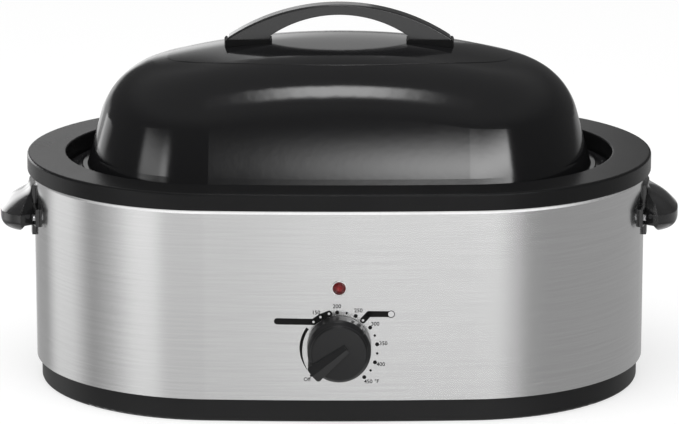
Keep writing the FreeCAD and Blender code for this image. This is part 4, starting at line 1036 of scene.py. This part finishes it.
    def build(self) -> None:
        """Print the dots, readings, bars and arc, and the white windows in the bars."""
        windows = [self.on_circle(angle, self.circle) for angle in self.low_windows]
        foot, knee = self.on_circle(self.high_foot, self.circle), self.on_circle(*self.high_knee)
        tail = knee + Vector(self.high_tail)
        black = [
            *self.readings(), *self.words(),
            *Bench.pills([windows[0] + Vector(self.low_tail), *windows], self.bar_width),
            *Bench.pills([foot, knee, tail], self.bar_width * self.high_share),
            Bench.disc(tail, self.bar_width * self.high_bulb), self.tapered_arc(),
        ]
        white = [Bench.disc(place, self.small_dot) for place in (*windows, foot)]
        white.append(Bench.disc(tail, self.bar_width * self.high_window))
        self.finish(black, "scale_print", Finishes.ink, 0.0, "black_enamel")
        lift = self.thickness * self.window_lift
        self.finish(white, "scale_windows", Finishes.white_ink, lift, "ceramic_white")

    def finish(self, parts: list[Piece], name: str, ink: Finish, lift: float, slot: str) -> None:
        """Join a set of flat marks, lay them on the steel, and give them the ink and its thickness.

        Args:
            parts: The marks, on the plane y = 0.
            name: The joined piece's name.
            ink: Its finish.
            lift: Extra height over the steel.
            slot: The record's material slot; not used.
        """
        piece = Bench.join(parts, name)
        Bench.slice_upright(piece, self.slice_pitch)
        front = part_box("body_shell")[0].y - self.approach
        with Bench.editing(piece):
            bpy.ops.transform.translate(value=(0.0, front, 0.0))
        Bench.modify(piece, "SHRINKWRAP", target=self.nodes["body_shell"], wrap_method="PROJECT",
                     use_project_y=True, use_positive_direction=True, use_negative_direction=False,
                     offset=self.stand_off + lift)
        with Bench.editing(piece):
            bpy.ops.mesh.normals_make_consistent(inside=False)
        Bench.modify(piece, "SOLIDIFY", thickness=self.thickness, offset=1.0)
        Bench.coat(piece, ink)
        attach(piece, Carrier.CASING.value)
        LOG.info("%s: %d faces", name, len(piece.data.polygons))


@dataclass
class FlaredEdge:
    """The flared strip of the wrap, just under the rim, in a paler metal than the wrap: a painted
    highlight line.
    """

    nodes: dict[str, Piece]
    section: float = 189.4 * MM
    level: float = 191.8 * MM
    height: float = 3.3 * MM
    flare: float = 1.5 * MM
    lower_share: float = 0.5
    merge: float = 0.01 * MM
    smooth_below: float = 30.0

    def build(self) -> None:
        """Section the wrap, drop a ribbon from its outer outline and thicken its upper edge."""
        strip = Bench.copy(self.nodes["body_shell"], "flared_edge_painted_highlight")
        with Bench.editing(strip):
            bpy.ops.mesh.bisect(plane_co=(0.0, 0.0, self.section), plane_no=(0.0, 0.0, 1.0),
                                clear_inner=True, clear_outer=True)
            bpy.ops.mesh.remove_doubles(threshold=self.merge)
        self.keep_outer(strip)
        with Bench.editing(strip):
            bpy.ops.transform.translate(value=(0.0, 0.0, self.level - self.section))
            bpy.ops.mesh.extrude_edges_move(TRANSFORM_OT_translate={"value": (0.0, 0.0, -self.height)})
            bpy.ops.mesh.select_all(action="SELECT")
            bpy.ops.mesh.normals_make_consistent(inside=False)
        if sum(face.normal.dot(face.center) for face in strip.data.polygons) < 0.0:
            with Bench.editing(strip):
                bpy.ops.mesh.flip_normals()
        middle = self.level - self.height / 2
        high = [vertex.index for vertex in strip.data.vertices if vertex.co.z > middle]
        strip.vertex_groups.new(name="upper").add(high, 1.0, "REPLACE")
        Bench.modify(strip, "SOLIDIFY", thickness=self.flare, offset=1.0, vertex_group="upper",
                     thickness_vertex_group=self.lower_share)
        Bench.smooth(strip, self.smooth_below)
        strip.vertex_groups.clear()
        # the strip's finish paints a highlight line along it
        Bench.coat(strip, Finishes.bead)
        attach(strip, Carrier.CASING.value)
        LOG.info("flared edge: %d faces", len(strip.data.polygons))

    @staticmethod
    def keep_outer(outline: Piece) -> None:
        """Delete the section's inner loop.

        Args:
            outline: The section of the wrap.
        """
        points = outline.data.vertices
        reach = max(abs(vertex.co.y) for vertex in points)
        front = min(points, key=lambda vertex: abs(vertex.co.x) + abs(vertex.co.y + reach)).index
        with Bench.editing(outline, lambda vertex: vertex.index == front):
            bpy.ops.mesh.select_linked()
            bpy.ops.mesh.select_all(action="INVERT")
            bpy.ops.mesh.delete(type="VERT")


@dataclass
class TaperedKnob:
    """The dial's knob with its skirt drawn in towards the face.

    The first draw brings the shoulder's points into the face's ring, so the second draws them in
    once more.
    """

    nodes: dict[str, Piece]
    shoulder: float = 26.5 * MM
    shoulder_draw: float = 0.93
    face_edge: float = 24.2 * MM
    face_draw: float = 0.95
    depth: float = 18.0 * MM
    margin: float = 0.05 * MM
    smooth_below: float = 30.0

    def build(self) -> None:
        """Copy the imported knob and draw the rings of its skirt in."""
        low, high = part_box("control_knob")
        reach = (high.x - low.x) / 2
        centre = Vector((0.0, high.y, high.z - reach))
        knob = Bench.copy(self.nodes["control_knob"], "dial_knob")
        self.draw_in(knob, centre, (self.shoulder, reach + self.margin), self.shoulder_draw)
        self.draw_in(knob, centre, (self.face_edge, self.shoulder), self.face_draw)
        Bench.smooth(knob, self.smooth_below)
        Bench.coat(knob, Finishes.knob)
        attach(knob, Carrier.DIAL.value)
        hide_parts("control_knob")
        LOG.info("dial knob: %d faces", len(knob.data.polygons))

    def draw_in(self, knob: Piece, centre: Vector, ring: tuple[float, float],
                draw: float) -> None:
        """Draw the points of one ring towards the dial's axis.

        Args:
            knob: The knob's copy.
            centre: Where the axis meets the knob's back.
            ring: The ring's least and greatest reach from the axis.
            draw: The share of its reach that each point keeps.
        """
        def in_ring(vertex: bpy.types.MeshVertex) -> bool:
            """Say whether a point is in the ring and stands far enough out."""
            reach = math.hypot(vertex.co.x - centre.x, vertex.co.z - centre.z)
            return ring[0] < reach <= ring[1] and centre.y - vertex.co.y > self.depth

        with Bench.editing(knob, in_ring):
            bpy.ops.transform.resize(value=(draw, 1.0, draw), center_override=centre)


@dataclass
class LampJewel:
    """The domed red lens of the lamp with a painted glow, in its thin pale collar whose faint pink is a
    painted halo of the lens's light.
    """

    radius: float = 5.7 * MM
    rise: float = 2.6 * MM
    wall: float = 0.6 * MM
    sunk: float = 0.4 * MM
    dome_steps: int = 9
    collar: float = 0.95 * MM
    collar_rise: float = 0.9 * MM
    collar_gap: float = 0.05 * MM
    collar_sunk: float = 0.3 * MM
    chamfer: float = 0.2 * MM
    chamfer_level: float = 0.55
    turn_steps: int = 40
    merge: float = 0.002 * MM
    smooth_below: float = 35.0

    def build(self) -> None:
        """Turn the lens and its collar about the lamp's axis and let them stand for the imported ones."""
        low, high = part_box("lamp_bezel")
        centre = Vector(((low.x + high.x) / 2, high.y, (low.z + high.z) / 2))
        lens = self.turned("lamp_jewel", centre, self.dome())
        Bench.coat(lens, SignalLens("lamp_jewel_red", centre=tuple(centre)))
        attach(lens, Carrier.CASING.value)
        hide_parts("lamp_lens")
        ring = self.turned("lamp_collar", centre, self.ring())
        Bench.coat(ring, Finishes.bezel)
        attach(ring, Carrier.CASING.value)
        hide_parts("lamp_bezel")

    def dome(self) -> list[Vector]:
        """Give the lens's half outline: reach from the axis, and height over the wrap.

        Returns:
            The outline's points, from the crown to the back.
        """
        ball = (self.radius ** 2 + self.rise ** 2) / (2 * self.rise)
        top = math.asin(self.radius / ball)
        points = []
        for place in range(self.dome_steps + 1):
            angle = top * place / self.dome_steps
            height = self.rise - ball * (1 - math.cos(angle)) + self.wall
            points.append(Vector((math.sin(angle) * ball, height)))
        return [*points, Vector((self.radius, -self.sunk)), Vector((0.0, -self.sunk))]

    def ring(self) -> list[Vector]:
        """Give the collar's half outline.

        Returns:
            The outline's points, closed.
        """
        inner, outer = self.radius + self.collar_gap, self.radius + self.collar
        top, back = self.collar_rise, -self.collar_sunk
        outline = ((inner, back), (inner, top), (outer - self.chamfer, top),
                   (outer, top * self.chamfer_level), (outer, back), (inner, back))
        return [Vector(point) for point in outline]

    def turned(self, name: str, centre: Vector, outline: list[Vector]) -> Piece:
        """Turn a half outline about the lamp's axis.

        Args:
            name: The piece's name.
            centre: Where the axis meets the wrap.
            outline: Reach and height of each point.

        Returns:
            The turned piece.
        """
        piece = Bench.rename(Bench.point(0.0, 0.0), name)
        first = outline[0]
        with Bench.editing(piece):
            bpy.ops.transform.translate(value=(centre.x + first.x, centre.y - first.y, centre.z))
            for start, end in zip(outline, outline[1:]):
                move = (end.x - start.x, start.y - end.y, 0.0)
                bpy.ops.mesh.extrude_vertices_move(TRANSFORM_OT_translate={"value": move})
            bpy.ops.mesh.select_all(action="SELECT")
            bpy.ops.mesh.spin(steps=self.turn_steps, angle=math.tau, center=centre, axis=(0.0, 1.0, 0.0))
            bpy.ops.mesh.select_all(action="SELECT")
            bpy.ops.mesh.remove_doubles(threshold=self.merge)
            bpy.ops.mesh.normals_make_consistent(inside=False)
        Bench.smooth(piece, self.smooth_below)
        LOG.info("%s: %d faces", name, len(piece.data.polygons))
        return piece


# --- sub-assemblies -----------------------------------------------------------------------


@dataclass(frozen=True)
class SubAssembly:
    """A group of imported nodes: each row is a finish and the nodes that take it."""

    name: str
    rows: tuple[tuple[Any, ...], ...]

    def dress(self, nodes: dict[str, Piece]) -> None:
        """Put the finishes on the group's nodes.

        Args:
            nodes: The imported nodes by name.
        """
        for finish, *names in self.rows:
            material = finish.build()
            for name in names:
                for slot in nodes[name].material_slots:
                    slot.link = "OBJECT"
                    slot.material = material
                LOG.info("%s, %s: %s", self.name, name, finish.name)


@dataclass
class Oven:
    """The whole oven: its packed sub-assemblies, and the pieces added to them."""

    frame: dict[str, Any]
    groups: tuple[SubAssembly, ...] = (
        SubAssembly("casing", (
            (Finishes.steel, "body_shell"),
            (Finishes.rim, "rim_ring"),
            (Finishes.base, "base_skirt", "cord_gland"),
            (Finishes.handle, "side_handle_right", "side_handle_left",
             "handle_bracket_right", "handle_bracket_left"),
            (Finishes.rubber, "rubber_feet"),
            (Finishes.zinc, "bottom_plate", "bottom_screws", "tie_rods", "side_handle_screws",
             "side_handle_nuts", "thermostat_bracket"),
        )),
        SubAssembly("heating", (
            (Finishes.well, "heating_well"),
            (Finishes.band, "heating_band"),
            (Finishes.zinc, "band_clips", "bulb_strap", "thermal_cutout"),
            (Finishes.blanket, "insulation_blanket"),
            (Finishes.reflector, "reflector_tray"),
            (Finishes.phenolic, "thermostat_body"),
            (Finishes.copper, "sensing_bulb"),
            (Finishes.ceramic, "terminal_block", "lamp_holder"),
        )),
        SubAssembly("cookware", (
            (Finishes.pan, "roasting_pan"),
            (Finishes.wire, "roasting_rack", "rack_handles"),
        )),
        SubAssembly("lid", (
            (Finishes.lid, "lid_shell"),
            (Finishes.handle, "lid_handle"),
            (Finishes.pad, "lid_handle_pads"),
            (Finishes.zinc, "lid_handle_washers", "lid_handle_screws"),
        )),
        SubAssembly("dial", (
            (Finishes.brass, "bush_nut"),
            (Finishes.zinc, "thermostat_shaft", "knob_spring_ring"),
        )),
    )

    def build(self) -> None:
        """Dress the nodes, print the scale and add the flared edge, the knob and the lamp."""
        nodes = self.frame["nodes"]
        for group in self.groups:
            group.dress(nodes)
        shaft_low, shaft_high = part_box("thermostat_shaft")
        Printing(nodes, (shaft_low + shaft_high) / 2).build()
        FlaredEdge(nodes).build()
        TaperedKnob(nodes).build()
        LampJewel().build()


# --- studio -------------------------------------------------------------------------------


@dataclass(frozen=True)
class Panel:
    """A soft light panel of the studio, as seen in polished surfaces.

    Angles are in degrees: azimuth from the front, growing to the right, and elevation.
    """

    azimuth: float
    half: float
    low: float
    high: float
    level: float
    soft_left: float
    soft_right: float
    soft_low: float
    soft_high: float

    def draw(self, graph: Graph, azimuth: Any, elevation: Any) -> Socket:
        """Draw the panel.

        Args:
            graph: The world's tree.
            azimuth: Source of the direction's azimuth.
            elevation: Source of its elevation.

        Returns:
            The panel's level in each direction.
        """
        aside = graph.math("WRAP", graph.math("SUBTRACT", azimuth, self.azimuth), 180.0, -180.0)
        level: Any = self.level
        for source, edge, soft, before in (
            (aside, -self.half, self.soft_left, 0.0), (aside, self.half, self.soft_right, 1.0),
            (elevation, self.low, self.soft_low, 0.0), (elevation, self.high, self.soft_high, 1.0),
        ):
            side = graph.ramp(source, edge - soft, edge + soft, before, 1.0 - before)
            level = graph.math("MULTIPLY", side, level)
        return level


class Unseen(Enum):
    """The rays that don't meet a lamp."""

    MIRRORED = "visible_glossy"
    CAMERA = "visible_camera"


@dataclass(frozen=True)
class Lamp:
    """A rectangular area lamp, aimed at a point."""

    name: str
    place: Place
    target: Place
    size: tuple[float, float]
    energy: float
    unseen: Unseen
    diffuse: float = 1.0
    spread: float = 180.0

    def hang(self) -> None:
        """Put the lamp into the scene."""
        data = bpy.data.lights.new(self.name, "AREA")
        data.shape, data.energy, data.diffuse_factor = "RECTANGLE", self.energy, self.diffuse
        data.size, data.size_y = self.size
        data.spread = math.radians(self.spread)
        lamp = bpy.data.objects.new(self.name, data)
        lamp.location = self.place
        toward = Vector(self.target) - Vector(lamp.location)
        lamp.rotation_euler = toward.to_track_quat("-Z", "Y").to_euler()
        setattr(lamp, self.unseen.value, False)
        bpy.context.scene.collection.objects.link(lamp)


@dataclass
class Studio:
    """Floor, lamps, surroundings and camera. Pairs are where a change starts and ends."""

    panels: tuple[Panel, ...] = (
        # front right: one broad box, brighter towards its right edge
        Panel(23.0, 23.5, 9.0, 17.3, 5.0, 9.5, 0.8, 4.0, 5.0),
        Panel(25.8, 20.8, 6.0, 14.0, 5.0, 12.0, 0.8, 4.0, 5.0),
        # left box, and its brighter edge
        Panel(-60.0, 14.0, 3.0, 12.6, 2.4, 3.0, 2.5, 4.0, 4.5),
        Panel(-49.5, 3.0, 5.0, 13.0, 1.8, 2.5, 2.5, 4.0, 4.5),
        # behind: a card seen in the crown, and paler ones to its left
        Panel(181.8, 5.6, 0.0, 35.0, 0.5, 0.4, 2.5, 1.0, 2.0),
        Panel(181.8, 5.6, 24.0, 35.0, 0.3, 0.4, 2.5, 10.0, 2.0),
        Panel(-163.0, 9.0, -9.0, 6.0, 0.9, 4.0, 3.0, 3.0, 4.0),
        Panel(-172.0, 6.0, -9.0, 9.0, 0.7, 3.0, 3.0, 3.0, 4.0),
        Panel(-146.0, 8.0, -5.0, 5.0, 0.7, 4.0, 4.0, 3.0, 3.0),
        # low surroundings, seen in the upright walls
        Panel(-17.0, 53.0, -16.0, -3.0, 0.76, 18.0, 10.0, 12.0, 3.0),
        Panel(-47.0, 11.0, -16.0, -3.0, 0.53, 12.0, 6.0, 12.0, 3.0),
        Panel(11.0, 15.0, -16.0, -3.0, 0.32, 6.0, 6.0, 12.0, 3.0),
        Panel(-111.0, 17.0, -16.0, -3.0, 0.95, 10.0, 12.0, 12.0, 3.0),
        Panel(-174.0, 8.0, -90.0, -3.0, 0.4, 6.0, 6.0, 1.0, 3.0),
    )
    lamps: tuple[Lamp, ...] = (
        # one broad soft lamp over the oven
        Lamp("overhead", (-0.4, -0.9, 2.3), (0.0, 0.0, 0.0), (2.4, 1.8), 26.0, Unseen.MIRRORED),
        # a small card by the left handle, which only polished surfaces show
        Lamp("side_card", (-0.366, 0.088, 0.2), (-0.295, -0.02, 0.165), (0.1, 0.1), 0.011,
             Unseen.CAMERA, diffuse=0.0, spread=58.0),
    )
    horizon_level: float = 0.1
    room_level: float = 0.25
    room_rise: Pair = (18.0, 42.0)
    low_level: float = 0.36
    near_level: float = 0.2
    low_rise: Pair = (-24.0, -14.0)
    low_end: Pair = (-6.0, -2.0)
    floor_level: float = 1.0
    floor_end: Pair = (-38.0, -29.0)
    strip_level: float = 7.4
    strip_side: Pair = (0.05, 0.2)
    strip_near: Pair = (0.29, 0.4)
    strip_far: Pair = (0.64, 0.8)
    least_height: float = 0.001
    lamp_light: float = 0.7
    floor_size: float = 24.0
    floor_lit: Colour = (0.82, 0.82, 0.82)
    floor_seen: Colour = (0.45, 0.45, 0.45)
    floor_glow: float = 0.62
    camera_place: Place = (0.0, -3.6853, 1.06518)
    camera_pitch: float = 0.2437
    lens: float = 222.04
    sensor: float = 36.0
    shift: float = 0.00044
    farthest: float = 100.0

    def build(self) -> None:
        """Set the whole studio up."""
        bpy.context.scene.view_settings.view_transform = "Standard"
        self.build_world()
        self.build_floor()
        for lamp in self.lamps:
            lamp.hang()
        self.build_camera()

    def build_world(self) -> None:
        """Make surroundings that are white to look at and a plain studio in reflections."""
        world = bpy.data.worlds.new("studio")
        bpy.context.scene.world = world
        graph = Graph.fresh(world)
        parts = graph.add("SeparateXYZ", Vector=graph.add("TexCoord").outputs["Generated"])
        x, y, z = (parts.outputs[name] for name in "XYZ")
        ahead = graph.math("MULTIPLY", y, -1.0)
        azimuth = graph.math("DEGREES", graph.math("ARCTAN2", x, ahead))
        elevation = graph.math("DEGREES", graph.math("ARCSINE", z))
        total = graph.ramp(elevation, *self.room_rise, self.horizon_level, self.room_level)
        low = graph.ramp(elevation, *self.low_rise, self.near_level, self.low_level)
        for level in (
            *(panel.draw(graph, azimuth, elevation) for panel in self.panels),
            self.draw_strip(graph, x, ahead, z),
            graph.math("MULTIPLY", low, graph.ramp(elevation, *self.low_end, 1.0, 0.0)),
            graph.ramp(elevation, *self.floor_end, self.floor_level - self.near_level, 0.0),
        ):
            total = graph.math("ADD", total, level)
        path = graph.add("LightPath").outputs
        polished = graph.math("MAXIMUM", path["Is Glossy Ray"], path["Is Transmission Ray"])
        spread = graph.math("SUBTRACT", total, self.lamp_light)
        plain = graph.math("MULTIPLY_ADD", polished, spread, self.lamp_light)
        white = graph.math("SUBTRACT", 1.0, plain)
        seen = graph.math("MULTIPLY_ADD", path["Is Camera Ray"], white, plain)
        back = graph.add("Background", Color=(1.0, 1.0, 1.0), Strength=seen)
        graph.add("OutputWorld", Surface=back.outputs[0])

    def draw_strip(self, graph: Graph, x: Any, ahead: Any, z: Any) -> Socket:
        """Draw the strip light that hangs level in front of the oven, above the camera.

        Args:
            graph: The world's tree.
            x: Source of the direction's part to the right.
            ahead: Source of its part to the front.
            z: Source of its part upwards.

        Returns:
            The strip's level in each direction.
        """
        height = graph.math("MAXIMUM", z, self.least_height)
        across = graph.math("ABSOLUTE", graph.math("DIVIDE", x, height))
        out = graph.math("DIVIDE", ahead, height)
        level = graph.ramp(across, *self.strip_side, self.strip_level, 0.0)
        level = graph.math("MULTIPLY", level, graph.ramp(out, *self.strip_near))
        return graph.math("MULTIPLY", level, graph.ramp(out, *self.strip_far, 1.0, 0.0))

    def build_floor(self) -> None:
        """Lay a plain pale floor that keeps the oven's soft shadow."""
        Bench.clear()
        bpy.ops.mesh.primitive_plane_add(size=self.floor_size, location=(0.0, 0.0, 0.0))
        floor = bpy.context.view_layer.objects.active
        floor.name = "floor"
        material = bpy.data.materials.new("pale_floor")
        graph = Graph.fresh(material)
        matt = graph.add("BsdfDiffuse", Color=self.floor_lit)
        glow = graph.add("Emission", Color=(1.0, 1.0, 1.0), Strength=self.floor_glow)
        half = graph.add("BsdfDiffuse", Color=self.floor_seen)
        bright = graph.join("AddShader", glow.outputs[0], half.outputs[0])
        camera = graph.add("LightPath").outputs["Is Camera Ray"]
        seen = graph.join("MixShader", camera, matt.outputs[0], bright.outputs[0])
        graph.add("OutputMaterial", Surface=seen.outputs[0])
        floor.data.materials.append(material)
        floor.visible_glossy = False

    def build_camera(self) -> None:
        """Set the camera up at the front, a little above the oven."""
        data = bpy.data.cameras.new("camera")
        data.lens, data.sensor_width, data.shift_x = self.lens, self.sensor, self.shift
        data.clip_end = self.farthest
        camera = bpy.data.objects.new("camera", data)
        camera.location = self.camera_place
        camera.rotation_euler = (math.pi / 2 - self.camera_pitch, 0.0, 0.0)
        bpy.context.scene.collection.objects.link(camera)
        bpy.context.scene.camera = camera


def main() -> None:
    """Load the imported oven, finish it and set it in its studio."""
    logging.basicConfig(level=logging.INFO, format="%(name)s: %(message)s")
    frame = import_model()
    Oven(frame).build()
    Studio().build()


if __name__ == "__main__":
    main()
